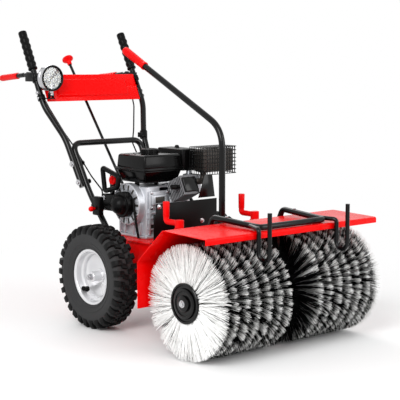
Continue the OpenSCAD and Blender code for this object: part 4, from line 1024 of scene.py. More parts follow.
@dataclass
class Hood:
    """Bent sheet hood over the brush, with castors, cranks, container hooks and swing lever."""

    shop: Shop
    sheet: float = 0.003
    bend: float = 0.007
    front: float = 0.145
    lip: float = 0.022
    front_z: float = 0.454
    ridge: float = 0.081
    ridge_z: float = 0.461
    rear: float = 0.224
    bend_z: float = 0.332
    low_z: float = 0.161
    guide_radius: float = 0.020
    guide_bore: float = 0.0151
    guide_low: float = 0.250
    guide_top: float = 0.425
    bracket_half: float = 0.010
    bracket_low: float = 0.255
    bracket_top: float = 0.325
    frame_radius: float = 0.011
    frame_x: float = 0.180
    frame_z: float = 0.467
    corner_x: float = 0.165
    rise_back: float = 0.104
    rise_z: float = 0.482
    foot_back: float = 0.132
    hook_x: float = 0.200
    hook_radius: float = 0.008
    hook_span: float = 0.053
    lever_x: float = 0.020
    lever_front: float = 0.376
    lever_knee_z: float = 0.788
    lever_end: Sequence[float] = (0.226, 1.091)

    def build(self) -> None:
        """Make everything that swings with the brush but doesn't spin."""
        self.hood()
        self.container_frame()
        self.swing_lever()
        for side in Side:
            self.crank(side)
            self.shop.dress((side.node("castor_leg"), STEEL, 0.001), (side.node("castor_fork"), STEEL, 0.0012))
            self.castor_wheel(side)
        self.shop.dress(("swing_frame", SATIN_BLACK, 0.0015), ("brush_gear_case", SATIN_BLACK, 0.004, 3),
                        ("drive_shaft", STEEL, 0.001))

    def hood(self) -> None:
        """Bend the hood from one sheet and weld the castor guides to its rear."""
        low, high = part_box("brush_hood")
        y = self.shop.brush.y
        inset = self.sheet / 2
        corners = [(-self.front + inset, self.front_z - self.lip), (-self.front + inset, self.front_z - inset),
                   (self.ridge, self.ridge_z - inset), (self.rear - inset, self.bend_z),
                   (self.rear - inset, self.low_z)]
        path = rounded_path([Vector((low.x, y + a, b)) for a, b in corners], self.bend, 6)
        sheet = Bench.from_points("hood", path, [(i, i + 1) for i in range(len(path) - 1)], [])
        Bench.edit(sheet)
        bpy.ops.mesh.extrude_region_move(TRANSFORM_OT_translate={"value": (high.x - low.x, 0.0, 0.0)})
        Bench.hold(Bench.outward(sheet))
        wall = sheet.modifiers.new("wall", "SOLIDIFY")
        wall.thickness = self.sheet
        wall.offset = 0.0
        bpy.ops.object.modifier_apply(modifier=wall.name)
        Bench.bevel(sheet, 0.0011, 3, math.radians(60))
        parts = [Bench.smooth(sheet)]
        for side in Side:
            leg = self.shop.middle(side.node("castor_leg"))
            ring = [(self.guide_bore, self.guide_low), (self.guide_radius, self.guide_low),
                    (self.guide_radius, self.guide_top), (self.guide_bore, self.guide_top)]
            guide = Bench.turned("guide", ring, Vector((leg.x, leg.y, 0.0)), Z_AXIS, 40, True)
            parts.append(Bench.smooth(Bench.bevel(guide, 0.0012)))
            start = (leg.x - self.bracket_half, high.y - 2 * self.guide_radius - 0.05, self.bracket_low)
            end = (leg.x + self.bracket_half, leg.y - self.guide_bore - 0.002, self.bracket_top)
            parts.append(Bench.block("bracket", start, end, 0.0015))
        self.shop.stand_in(Bench.join("hood_sheet", parts), RED_PAINT, "brush_hood")

    def container_frame(self) -> None:
        """Bend the black frame and its two J hooks from tube and rod."""
        low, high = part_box("container_hooks")
        y = self.shop.brush.y
        rod_y = low.y + self.hook_radius
        leg_y = rod_y + self.hook_span
        half = self.hook_span / 2
        bottom = low.z + self.hook_radius + half
        slope = (self.bend_z - self.ridge_z) / (self.rear - self.ridge)
        foot_z = self.ridge_z + slope * (self.foot_back - self.ridge)
        bow, parts, bolts = [], [], []
        for side in Side:
            foot = Vector((side.x(self.frame_x), y + 0.130, foot_z + 0.008))
            rise = Vector((side.x(self.frame_x), y + self.rise_back, self.rise_z))
            corner = Vector((side.x(self.corner_x), leg_y + 0.032, self.frame_z))
            arm = [foot, rise, corner]
            bow += arm if side is Side.RIGHT else arm[::-1]
            hook = Vector((side.x(self.hook_x), leg_y, self.frame_z))
            turn = [Vector((hook.x, rod_y + half + half * math.cos(a), bottom - half * math.sin(a)))
                    for a in np.linspace(0.0, math.pi, 15)]
            path = rounded_path([rise + (corner - rise) * 0.78, hook, turn[0]], 0.014) + turn[1:]
            path.append(Vector((hook.x, rod_y, high.z)))
            parts.append(Bench.tube("hook", path, self.hook_radius))
            parts.append(self.foot_pad(side, y, foot_z, slope))
            seat = rise + (corner - rise) * 0.30 + Z_AXIS * (self.frame_radius - 0.0006)
            bolts.append(self.shop.bolt(seat, Z_AXIS, 0.0055, 0.0040))
        parts.append(Bench.tube("bow", rounded_path(bow, 0.018), self.frame_radius))
        self.shop.stand_in(Bench.join("container_frame", parts), BLACK_PAINT, "container_hooks")
        self.shop.fit(Bench.join("container_frame_bolts", bolts), STEEL, "brush_unit")

    def foot_pad(self, side: Side, y: float, foot_z: float, slope: float) -> Object:
        """Model the flat pad that carries one arm on the sloping hood.

        Args:
            side: the side of the machine.
            y: the brush axis.
            foot_z: the height of the hood under the pad.
            slope: the hood's slope there.

        Returns:
            The pad.
        """
        pad = Bench.block("pad", (-0.017, -0.020, 0.0002), (0.017, 0.020, 0.0042), 0.0012)
        place = Matrix.Translation((side.x(self.frame_x), y + self.foot_back, foot_z))
        pad.data.transform(place @ Matrix.Rotation(math.atan(slope), 4, "X"))
        return pad

    def swing_lever(self) -> None:
        """Bend the tall swing lever and slip the red grip over its end."""
        x, y = self.lever_x, self.shop.axle.y - self.lever_front
        base = Vector((x, y, self.shop.low("swing_lever").z))
        knee = Vector((x, y, self.lever_knee_z))
        end = Vector((x, self.shop.axle.y + self.lever_end[0], self.lever_end[1]))
        way = (end - knee).normalized()
        path = rounded_path([base, knee, end - way * 0.006], 0.075, 12)
        tube = Bench.tube("swing_lever_tube", path, 0.0125, 10)
        self.shop.stand_in(tube, BLACK_PAINT, "swing_lever")
        grip = [(0.0126, 0.0), (0.0160, 0.0), (0.0172, 0.0025), (0.0172, 0.006), (0.0162, 0.009), (0.0160, 0.020),
                (0.0166, 0.075), (0.0172, 0.130), (0.0169, 0.141), (0.0150, 0.1475), (0.0110, 0.1505), (0.0, 0.1512)]
        sleeve = Bench.turned("swing_lever_sleeve", grip, end - way * 0.150, way, 48)
        self.shop.stand_in(sleeve, RED_PLASTIC, "swing_lever_grip")

    def crank(self, side: Side) -> None:
        """Bend one red Z-shaped height crank.

        Args:
            side: the side of the machine.
        """
        node = side.node("height_crank")
        low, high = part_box(node)
        leg = self.shop.middle(side.node("castor_leg"))
        arm_z, hub_low, hub_top = 0.4433, 0.4253, 0.4560
        radius = 0.0110
        hub = [(0.0, low.z), (0.0068, low.z), (0.0068, hub_low), (0.0155, hub_low), (0.0170, hub_low + 0.0015),
               (0.0170, hub_top - 0.0015), (0.0155, hub_top), (0.0, hub_top)]
        parts = [Bench.turned("hub", hub, Vector((leg.x, leg.y, 0.0)), Z_AXIS, 40)]
        elbow = Vector((leg.x, high.y - radius, arm_z))
        start = Vector((leg.x, leg.y, arm_z))
        top = Vector((leg.x, elbow.y, high.z - 0.002))
        parts.append(Bench.tube("bar", rounded_path([start, elbow, top], 0.012), radius, 8))
        rise = high.z - arm_z
        sleeve = [(0.0112, 0.0), (0.0120, 0.0015), (0.0128, rise - 0.021), (0.0118, rise - 0.018),
                  (0.0, rise - 0.0175)]
        parts.append(Bench.turned("sleeve", sleeve, elbow + Z_AXIS * 0.0175, Z_AXIS, 36))
        self.shop.stand_in(Bench.join(f"{node}.bent", parts), RED_PLASTIC, node)

    def castor_wheel(self, side: Side) -> None:
        """Turn one castor wheel with a crowned tread and a recessed hub.

        Args:
            side: the side of the machine.
        """
        node = side.node("castor_wheel")
        low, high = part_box(node)
        middle = (low + high) / 2
        r, w = (high.z - low.z) / 2, (high.x - low.x) / 2
        half = [(0.0052, 0.75 * w), (0.26 * r, 0.75 * w), (0.30 * r, 0.98 * w), (0.40 * r, 0.98 * w),
                (0.46 * r, 0.70 * w), (0.72 * r, 0.70 * w), (0.78 * r, 0.96 * w), (0.92 * r, 0.94 * w),
                (0.98 * r, 0.62 * w), (r, 0.20 * w)]
        profile = half + [(a, -b) for a, b in reversed(half)]
        wheel = Bench.turned(f"{node}.turned", profile, middle, X_AXIS, 56, True)
        self.shop.stand_in(wheel, SOFT_RUBBER, node)


@dataclass
class Wheels:
    """Two block-tread tyres on stepped, dished rims."""

    shop: Shop
    lug_count: int = 30
    lug_width: float = 0.0205
    lead_share: float = 0.62

    def build(self) -> None:
        """Make the tyres, the rims, the valves and the axle."""
        rims, valves, nuts = [], [], []
        for side in Side:
            hub = self.shop.middle(side.node("tyre"))
            hub.z, hub.y = self.shop.axle.z, self.shop.axle.y
            self.tyre(side, hub)
            rims.append(self.rim(side, hub))
            valves.append(self.valve(side, hub))
            end = Vector((side.x(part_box("axle_shaft")[1].x), hub.y, hub.z))
            nuts.append(self.shop.bolt(end, X_AXIS * side.value, 0.0085, 0.006, 0.0118))
        self.shop.stand_in(Bench.join("stepped_rims", rims), RIM_SILVER, "wheel_rims")
        self.shop.fit(Bench.join("tyre_valves", valves), SOFT_RUBBER, "drive_axle")
        self.shop.fit(Bench.join("axle_end_bolts", nuts), STEEL, "drive_axle")
        self.shop.edged("axle_shaft", STEEL, 0.001)

    def tyre(self, side: Side, hub: Vector) -> None:
        """Spin the carcass and set the two rows of blocks on it.

        Args:
            side: the side of the machine.
            hub: the middle of the wheel.
        """
        wall = [(0.1008, 0.030), (0.1114, 0.0320), (0.1122, 0.0400), (0.1150, 0.0432), (0.1190, 0.0442),
                (0.1206, 0.0428), (0.1240, 0.0434), (0.1330, 0.0476), (0.1350, 0.0494), (0.1385, 0.0500),
                (0.1400, 0.0489), (0.1500, 0.0512), (0.1610, 0.0518), (0.1720, 0.0502), (0.1820, 0.0462),
                (0.1892, 0.0400), (0.1938, 0.0300), (0.1955, 0.0150), (0.1960, 0.0)]
        profile = wall + [(r, -u) for r, u in reversed(wall[:-1])]
        carcass = Bench.turned("carcass", profile, hub, X_AXIS, 110, True)
        parts = [Bench.paint(carcass, TYRE_RUBBER)]
        half_pitch = math.pi / self.lug_count
        for way, first in ((1.0, 0.0), (-1.0, half_pitch)):
            shoulder = self.shoulder_block(hub, way)
            parts += Bench.around(shoulder, self.lug_count, hub, X_AXIS, first)
            middle = self.middle_block(hub, way)
            parts += Bench.around(middle, self.lug_count, hub, X_AXIS, first + self.lead_share * half_pitch)
        node = side.node("tyre")
        self.shop.stand_in(Bench.join(f"{node}.treaded", parts), TYRE_RUBBER, node)

    def block(self, name: str, hub: Vector, way: float, outline: Profile, slant: float) -> Object:
        """Model one rubber block at the bottom of the tyre.

        Args:
            name: the block's name.
            hub: the middle of the wheel.
            way: 1 or -1, the side of the tread that it stands on.
            outline: its section, as distance from the middle plane and radius.
            slant: how far its inner end leads its outer end.

        Returns:
            The block, with a sunken panel in its top.
        """
        count = len(outline)
        spread = max(u for u, _ in outline)
        points = []
        for end in (-0.5, 0.5):
            for u, r in outline:
                taper = 1.12 - 0.20 * (r - 0.180) / 0.025
                t = end * self.lug_width * taper + slant * (1 - u / spread)
                points.append(Vector((hub.x + way * u, hub.y + t, hub.z - r)))
        faces = [list(range(count)), list(range(2 * count - 1, count - 1, -1))]
        faces += [[i, count + i, count + (i + 1) % count, (i + 1) % count] for i in range(count)]
        piece = Bench.from_points(name, points, [], faces)
        Bench.edit(piece)
        bpy.ops.mesh.normals_make_consistent(inside=False)
        bpy.ops.mesh.select_all(action="DESELECT")
        Bench.done(piece)
        for face in piece.data.polygons:
            face.select = face.normal.z < -0.9
        bpy.ops.object.mode_set(mode="EDIT")
        bpy.ops.mesh.inset(thickness=0.0040, depth=-0.0022)
        Bench.done(piece)
        Bench.bevel(piece, 0.0013, 2, math.radians(38))
        return Bench.paint(Bench.smooth(piece), TREAD_RUBBER)

    def shoulder_block(self, hub: Vector, way: float) -> Object:
        """The block that wraps from the tread down over the shoulder."""
        outline = [(0.0215, 0.190), (0.0215, 0.2046), (0.0410, 0.2038), (0.0500, 0.1955), (0.0528, 0.1830),
                   (0.0522, 0.1700), (0.0470, 0.1700), (0.0400, 0.184)]
        return self.block("shoulder", hub, way, outline, 0.004)

    def middle_block(self, hub: Vector, way: float) -> Object:
        """The block beside the middle plane, a little ahead of the shoulder block."""
        outline = [(0.0016, 0.190), (0.0016, 0.2046), (0.0250, 0.2046), (0.0250, 0.190)]
        return self.block("middle", hub, way, outline, 0.007)

    def rim(self, side: Side, hub: Vector) -> Object:
        """Spin the deep rim with its two steps, its disc and its hub tube.

        Args:
            side: the side of the machine.
            hub: the middle of the wheel.

        Returns:
            The rim.
        """
        profile = [(0.1050, 0.0364), (0.1090, 0.0366), (0.1108, 0.0355), (0.1108, 0.0336), (0.1090, 0.0322),
                   (0.1000, 0.0318), (0.1000, -0.0318), (0.1090, -0.0322), (0.1108, -0.0336), (0.1108, -0.0355),
                   (0.1090, -0.0366), (0.1050, -0.0364), (0.0985, -0.0335), (0.0970, -0.0300), (0.0965, -0.0200),
                   (0.0860, -0.0180), (0.0230, -0.0180), (0.0205, -0.0200), (0.0200, -0.0480), (0.0128, -0.0480),
                   (0.0128, 0.0325), (0.0192, 0.0325), (0.0203, 0.0314), (0.0203, -0.0085), (0.0225, -0.0110),
                   (0.0300, -0.0135), (0.0680, -0.0120), (0.0800, -0.0105), (0.0852, -0.0070), (0.0862, -0.0010),
                   (0.0868, 0.0040), (0.0890, 0.0068), (0.0930, 0.0078), (0.0962, 0.0100), (0.0972, 0.0150),
                   (0.0974, 0.0270), (0.0985, 0.0315), (0.1010, 0.0345)]
        collar = [(0.0203, -0.0125), (0.0272, -0.0125), (0.0280, -0.0100), (0.0272, -0.0070), (0.0203, -0.0065)]
        way = X_AXIS * side.value
        rim = Bench.turned("rim", profile, hub, way, 96, True)
        return Bench.join("rim", [rim, Bench.turned("collar", collar, hub, way, 56, True)])

    def valve(self, side: Side, hub: Vector) -> Object:
        """Turn the rubber valve that stands on the rim's inner step.

        Args:
            side: the side of the machine.
            hub: the middle of the wheel.

        Returns:
            The valve.
        """
        foot = hub + Vector((side.x(0.0050), 0.064, -0.0605))
        lean = Vector((side.x(1.0), -0.28, 0.24))
        stem = [(0.0, 0.0), (0.0115, 0.0), (0.0112, 0.004), (0.0090, 0.009), (0.0082, 0.017), (0.0094, 0.018),
                (0.0094, 0.027), (0.0080, 0.029), (0.0, 0.029)]
        return Bench.turned("valve", stem, foot, lean, 28)


@dataclass
class Chassis:
    """The red frame under the engine, its guard, gearbox, swing pivot and belt drive."""

    shop: Shop

    def build(self) -> None:
        """Dress the frame and what is bolted to it."""
        self.shop.dress(
            ("chassis_frame", RED_PAINT, 0.0014), ("engine_guard", SATIN_BLACK, 0.0009),
            ("transmission_case", CAST_ALLOY, 0.006, 3), ("axle_bearings", STEEL, 0.0015),
            ("swing_pins", STEEL, 0.0012), ("output_shaft", STEEL, 0.0008),
            ("flexible_coupling", SOFT_RUBBER, 0.0015), ("drive_belt", SOFT_RUBBER, 0.0012),
            ("input_pulley", STEEL, 0.0015), ("crankshaft", STEEL, 0.0012))


@dataclass
class Handles:
    """The lower U tube, the two upper tubes, their grips, bolts, brackets and control cables."""

    shop: Shop
    tube_radius: float = 0.0125
    tube_gap: float = 0.0252
    leg_x: float = 0.1626
    bar_x: float = 0.181
    knee: Sequence[float] = (0.264, 0.411, 0.860)
    grip_top: Sequence[float] = (0.261, 0.570, 1.168)
    grip_length: float = 0.178
    bolt_shares: Sequence[float] = (0.22, 0.59)
    bracket_shares: Sequence[float] = (0.105, 0.175)
    tube_start: float = 0.12
    clamp_share: float = 1.1
    cable_radius: float = 0.003

    def behind(self, x: float, back: float, z: float) -> Vector:
        """A place given by its X, its distance behind the axle and its height."""
        return Vector((x, self.shop.axle.y + back, z))

    def leg(self, share: float) -> Vector:
        """A place on the lower tube's upper leg, from its knee at 0 to its corner at 1."""
        knee = self.behind(self.leg_x, 0.235, 0.505)
        return knee + (self.behind(self.bar_x, 0.329, 0.705) - knee) * share

    def build(self) -> None:
        """Make every tube, grip, bolt and cable of the handles."""
        self.lower()
        self.upper()
        self.bolts()
        self.cables()
        self.shop.edged("handle_brackets", SATIN_BLACK, 0.0012)

    def lower(self) -> None:
        """Bend the lower handle, an inverted U, from one tube."""
        leg = [self.behind(self.leg_x, 0.060, 0.300), self.leg(0.0), self.leg(1.0)]
        path = leg + [Vector((-p.x, p.y, p.z)) for p in reversed(leg)]
        tube = Bench.tube("lower_handle_tube", rounded_path(path, 0.045, 10), self.tube_radius, 10)
        self.shop.stand_in(tube, BLACK_PAINT, "lower_handle")

    def upper(self) -> None:
        """Bend the two upper tubes and push a finger grip over each."""
        tubes, grips = [], []
        top = self.behind(*self.grip_top)
        knee = self.behind(*self.knee)
        beside = X_AXIS * self.tube_gap
        for side in Side:
            points = [self.leg(share) + beside for share in (self.tube_start, self.clamp_share)]
            points += [knee, top + (knee - top).normalized() * 0.004]
            points = [Vector((side.x(p.x), p.y, p.z)) for p in points]
            tubes.append(Bench.tube("upper", rounded_path(points, 0.036, 10), self.tube_radius, 10))
            grips.append(self.grip(points[2], Vector((side.x(top.x), top.y, top.z))))
        self.shop.stand_in(Bench.join("upper_handle_tubes", tubes), BLACK_PAINT, "upper_handles")
        self.shop.stand_in(Bench.join("finger_grips", grips), BLACK_PLASTIC, "handle_grips")

    def grip(self, knee: Vector, top: Vector) -> Object:
        """Turn one grip with finger rolls along its length.

        Args:
            knee: the tube's bend below the grip.
            top: the middle of the grip's end.

        Returns:
            The grip.
        """
        way = (top - knee).normalized()
        base = top - way * self.grip_length
        profile = [(0.0126, 0.0), (0.0180, 0.0), (0.0198, 0.002), (0.0198, 0.007), (0.0178, 0.010)]
        rolls, first, last = 5, 0.012, 0.150
        for k in range(rolls * 8 + 1):
            along = first + (last - first) * k / (rolls * 8)
            swell = 0.5 - 0.5 * math.cos(math.tau * k / 8)
            profile.append((0.0172 + 0.0028 * swell, along))
        profile += [(0.0178, 0.155), (0.0182, 0.170), (0.0170, 0.1755), (0.0130, 0.178), (0.0, 0.178)]
        piece = Bench.turned("grip", profile, base, way, 40)
        hole = Bench.turned("vent", [(0.0, 0.0), (0.0026, 0.0), (0.0026, 0.0012), (0.0, 0.0012)],
                            base + way * 0.163 - Y_AXIS * 0.0174, -Y_AXIS, 16)
        return Bench.join("grip", [piece, hole])

    def bolts(self) -> None:
        """Set the bolts that clamp the upper tubes to the lower one, and those of the guard plate."""
        parts, nuts = [], []
        along = (self.leg(1.0) - self.leg(0.0)).normalized()
        out = (X_AXIS - along * along.x).normalized()
        upper = self.behind(*self.grip_top) - self.behind(*self.knee)
        for side in Side:
            turn = Matrix.Diagonal((side.value, 1.0, 1.0, 1.0))
            for share in self.bolt_shares:
                seat = self.leg(share) + X_AXIS * self.tube_gap + out * self.tube_radius
                parts.append(self.shop.bolt(turn @ seat, turn.to_3x3() @ out, 0.0085, 0.008, 0.013))
                inner = turn @ (self.leg(share) - out * self.tube_radius)
                nuts.append(Bench.rod("nut", inner, inner - turn.to_3x3() @ out * 0.010, 0.0105, 6, 0.0012))
            for share in self.bracket_shares:
                seat = self.behind(*self.knee) + upper * share + X_AXIS * self.tube_radius
                parts.append(self.shop.bolt(turn @ seat, X_AXIS * side.value, 0.0065, 0.006, 0.0085))
        clamp = self.leg(self.clamp_share) + X_AXIS * self.tube_gap
        rise = (self.behind(*self.knee) - clamp).normalized() * 0.018
        nuts.append(Bench.rod("clamp", clamp - rise, clamp + rise, 0.0165, 32, 0.002))
        low, high = clamp - Vector((0.026, 0.010, 0.011)), clamp + Vector((0.0, 0.010, 0.011))
        nuts.append(Bench.block("clamp", low, high, 0.002))
        self.shop.fit(Bench.join("handle_nuts", nuts), BLACK_PLASTIC, "chassis")
        low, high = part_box("engine_guard")
        for across, drop in ((-0.42, 0.08), (0.255, 0.54)):
            at = Vector((across * (high.x - low.x), low.y, high.z - drop * (high.z - low.z)))
            parts.append(self.shop.bolt(at, -Y_AXIS, 0.0080, 0.0060, 0.0098))
        self.shop.stand_in(Bench.join("frame_bolt_set", parts), STEEL, "frame_bolts")

    def cables(self) -> None:
        """Lay the throttle and clutch cables along their routes behind the cross bar."""
        clevis = abs(self.shop.low("throttle_cable").x) - self.cable_radius
        throttle = [(-clevis, 0.502, 0.966), (-0.240, 0.470, 0.920), (-0.226, 0.428, 0.850), (-0.184, 0.378, 0.745),
                    (-0.156, 0.354, 0.692), (-0.150, 0.300, 0.630), (-0.154, 0.235, 0.575), (-0.157, 0.186, 0.543),
                    (-0.150, 0.164, 0.520), (-0.150, 0.164, self.shop.low("throttle_cable").z)]
        clutch = [(clevis, 0.502, 0.966), (0.240, 0.470, 0.920), (0.226, 0.428, 0.850), (0.184, 0.378, 0.745),
                  (0.156, 0.352, 0.692), (0.148, 0.298, 0.630), (0.138, 0.230, 0.520), (0.126, 0.170, 0.420),
                  (0.120, 0.135, 0.366), (0.120, 0.135, self.shop.low("clutch_cable").z)]
        for node, route in (("throttle_cable", throttle), ("clutch_cable", clutch)):
            path = rounded_path([self.behind(*p) for p in route], 0.011, 6)
            line = Bench.tube(f"{node}.sheath", path, self.cable_radius, 4)
            self.shop.stand_in(line, BLACK_PLASTIC, node)


@dataclass
class Controls:
    """Control panel, clutch levers, gear lever, switch box and stop button."""

    shop: Shop
    lever_droop: float = 5.0
    stem_cut: float = 0.0048
    field_share: float = 0.76
    field_depth: float = 0.007
    panel_low: Sequence[float] = (0.408, 0.878)
    panel_fold: Sequence[float] = (0.458, 0.988)

    def build(self) -> None:
        """Make the panel and everything that the operator holds or turns."""
        self.panel()
        for side in Side:
            self.clutch_lever(side)
        self.gear_lever()
        self.shop.edged("switch_box", BLACK_PLASTIC, 0.004, 3)
        self.stop_button()

    def panel(self) -> None:
        """Dress the panel's sheet and press a raised field into its front."""
        self.shop.edged("control_panel", RED_PAINT, 0.0011)
        low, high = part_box("control_panel")
        half = (high.x - low.x) * self.field_share / 2
        slope = Vector((0.0, self.panel_fold[0] - self.panel_low[0], self.panel_fold[1] - self.panel_low[1]))
        tall = slope.length * 0.36
        field = Bench.block("panel_field", (-half, -tall, -0.002), (half, tall, self.field_depth), 0.0022, 3,
                            (0.955, 0.80))
        middle = Vector((0.0, self.shop.axle.y + (self.panel_low[0] + self.panel_fold[0]) / 2,
                         (self.panel_low[1] + self.panel_fold[1]) / 2))
        up = slope.normalized()
        turn = Matrix((X_AXIS, up, X_AXIS.cross(up))).transposed().to_4x4()
        field.data.transform(Matrix.Translation(middle) @ turn)
        self.shop.fit(field, RED_PAINT, "chassis")

    def clutch_lever(self, side: Side) -> None:
        """Turn one clutch lever: black tube, eye and red grip.

        Args:
            side: the side of the machine.
        """
        node = side.node("clutch_lever")
        low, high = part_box(node)
        pivot = Vector(((low.x + high.x) / 2, low.y + 0.010, high.z - 0.010))
        droop = math.radians(self.lever_droop)
        way = Vector((0.0, math.cos(droop), -math.sin(droop)))
        eye = Bench.rod("eye", pivot - X_AXIS * 0.008, pivot + X_AXIS * 0.008, 0.010, 32, 0.001)
        tube = [(0.0, 0.0), (0.0068, 0.0), (0.0068, 0.030), (0.0098, 0.034), (0.0100, 0.036), (0.0100, 0.090),
                (0.0, 0.090)]
        bar = Bench.paint(Bench.join("bar", [eye, Bench.turned("tube", tube, pivot, way, 36)]), BLACK_PAINT)
        grip = [(0.0101, 0.080), (0.0124, 0.080), (0.0135, 0.082), (0.0138, 0.088), (0.0134, 0.120), (0.0136, 0.170),
                (0.0140, 0.195), (0.0136, 0.206), (0.0120, 0.2135), (0.0080, 0.217), (0.0, 0.218)]
        sleeve = Bench.paint(Bench.turned("sleeve", grip, pivot, way, 40), RED_PLASTIC)
        self.shop.stand_in(Bench.join(f"{node}.turned", [sleeve, bar]), RED_PLASTIC, node)

    def gear_lever(self) -> None:
        """Turn the gear lever's rod, its eye and its red mushroom knob."""
        low = self.shop.low("gear_lever")
        pivot = Vector((0.030, self.shop.axle.y + 0.138, low.z + 0.009))
        top = Vector((0.030, self.shop.axle.y + 0.651, 1.050))
        way = (top - pivot).normalized()
        eye = Bench.rod("eye", pivot - X_AXIS * 0.0075, pivot + X_AXIS * 0.0075, 0.009, 32, 0.001)
        rod = Bench.rod("rod", pivot, top, 0.006, 28, 0.0)
        bar = Bench.paint(Bench.join("bar", [rod, eye]), BLACK_PAINT)
        cap = [(0.0062, -0.026), (0.0095, -0.026), (0.0098, -0.020), (0.0108, -0.012), (0.0140, -0.007),
               (0.0218, -0.003), (0.0248, 0.001), (0.0250, 0.005), (0.0228, 0.0105), (0.0160, 0.0145),
               (0.0080, 0.0164), (0.0, 0.0168)]
        knob = Bench.paint(Bench.turned("knob", cap, top, way, 48), RED_PLASTIC)
        self.shop.stand_in(Bench.join("gear_lever.turned", [bar, knob]), BLACK_PAINT, "gear_lever")

    def stop_button(self) -> None:
        """Turn the red ball of the stop button with its stem."""
        low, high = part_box("stop_button")
        middle = (low + high) / 2
        r = (high.z - low.z) / 2
        stem_end = high.x - low.x - self.stem_cut
        ball = [(0.0, 0.0), *[(r * math.sin(a), r - r * math.cos(a)) for a in np.linspace(0.18, 2.55, 18)],
                (0.0056, 1.95 * r), (0.0056, stem_end), (0.0, stem_end)]
        piece = Bench.turned("stop_button.ball", ball, Vector((low.x, middle.y, middle.z)), X_AXIS, 40)
        self.shop.stand_in(piece, RED_PLASTIC, "stop_button")


@dataclass
class Headlight:
    """The round lamp on its bracket: shell, bezel, reflector cups and glass."""

    shop: Shop
    cup_radius: float = 0.0078
    lug_half: float = 0.007
    lug_radius: float = 0.008

    def build(self) -> None:
        """Make the lamp's shell, its ring of chips with a faint painted glow and its glass."""
        lens_low, lens_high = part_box("lamp_lens")
        low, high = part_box("headlight")
        centre = Vector(((lens_low.x + lens_high.x) / 2, low.y, (lens_low.z + lens_high.z) / 2))
        r, depth = (high.x - low.x) / 2, high.y - low.y
        shell = [(0.0, 0.0135), (0.83 * r, 0.0135), (0.835 * r, 0.002), (0.93 * r, 0.0), (0.985 * r, 0.0015),
                 (r, 0.005), (r, 0.0145), (0.965 * r, 0.0160), (0.965 * r, 0.0185), (0.995 * r, 0.0200),
                 (r, 0.60 * depth), (0.93 * r, 0.65 * depth), (0.70 * r, 0.71 * depth), (0.48 * r, 0.77 * depth),
                 (0.28 * r, 0.82 * depth), (0.0, 0.82 * depth)]
        pin = Vector((centre.x, low.y + 0.014, low.z + self.lug_radius))
        side, back = X_AXIS * self.lug_half, Y_AXIS * self.lug_radius
        lug_top = pin + side + back
        lug_top.z = centre.z - 0.5 * r
        parts = [Bench.turned("shell", shell, centre, Y_AXIS, 72),
                 Bench.block("lug", pin - side - back, lug_top, 0.0012),
                 Bench.rod("pivot", pin - side, pin + side, self.lug_radius, 28)]
        self.shop.stand_in(Bench.join("lamp_shell", parts), LAMP_SHELL, "headlight")
        ring = [(0.815 * r, 0.0026), (0.955 * r, 0.0012), (0.975 * r, -0.0006), (0.93 * r, -0.0034),
                (0.86 * r, -0.0034), (0.818 * r, -0.0010)]
        self.shop.fit(Bench.turned("lamp_bezel", ring, centre, Y_AXIS, 72, True), BLACK_PLASTIC, "lamp")
        self.reflector(centre, r)
        glass = [(0.0, 0.0005), (0.30 * r, 0.0008), (0.60 * r, 0.0016), (0.815 * r, 0.0028), (0.815 * r, 0.0042),
                 (0.60 * r, 0.0036), (0.30 * r, 0.0032), (0.0, 0.0030)]
        self.shop.stand_in(Bench.turned("lamp_glass", glass, centre, Y_AXIS, 64), LAMP_GLASS, "lamp_lens")

    def reflector(self, centre: Vector, r: float) -> None:
        """Set bright cups, each with its chip, on the plate behind the glass; the chips' faint glow is painted
        light.

        Args:
            centre: the middle of the lamp's face.
            r: the lamp's radius.
        """
        cups, chips = [], []
        spots = [(0.0, 0.0)]
        for count, share in ((6, 0.36), (12, 0.665)):
            turns = [math.tau * (k + 0.25) / count for k in range(count)]
            spots += [(share * r * math.cos(turn), share * r * math.sin(turn)) for turn in turns]
        rim = self.cup_radius + 0.0005
        cup = [(0.0026, 0.0128), (0.0050, 0.0105), (0.0070, 0.0072), (self.cup_radius, 0.0048), (rim, 0.0048),
               (rim, 0.0132), (0.0026, 0.0132)]
        chip = [(0.0, 0.0098), (0.0022, 0.0100), (0.0030, 0.0112), (0.0030, 0.0130), (0.0, 0.0130)]
        for x, z in spots:
            at = centre + Vector((x, 0.0, z))
            cups.append(Bench.turned("cup", cup, at, Y_AXIS, 20, True))
            chips.append(Bench.turned("chip", chip, at, Y_AXIS, 14))
        plate = [(0.0, 0.0120), (0.825 * r, 0.0120), (0.825 * r, 0.0134), (0.0, 0.0134)]
        cups.append(Bench.turned("plate", plate, centre, Y_AXIS, 64))
        self.shop.fit(Bench.join("lamp_cups", cups), LAMP_PLATE, "lamp")
        self.shop.fit(Bench.join("lamp_chips", chips), PAINTED_GLOW_CHIP, "lamp")


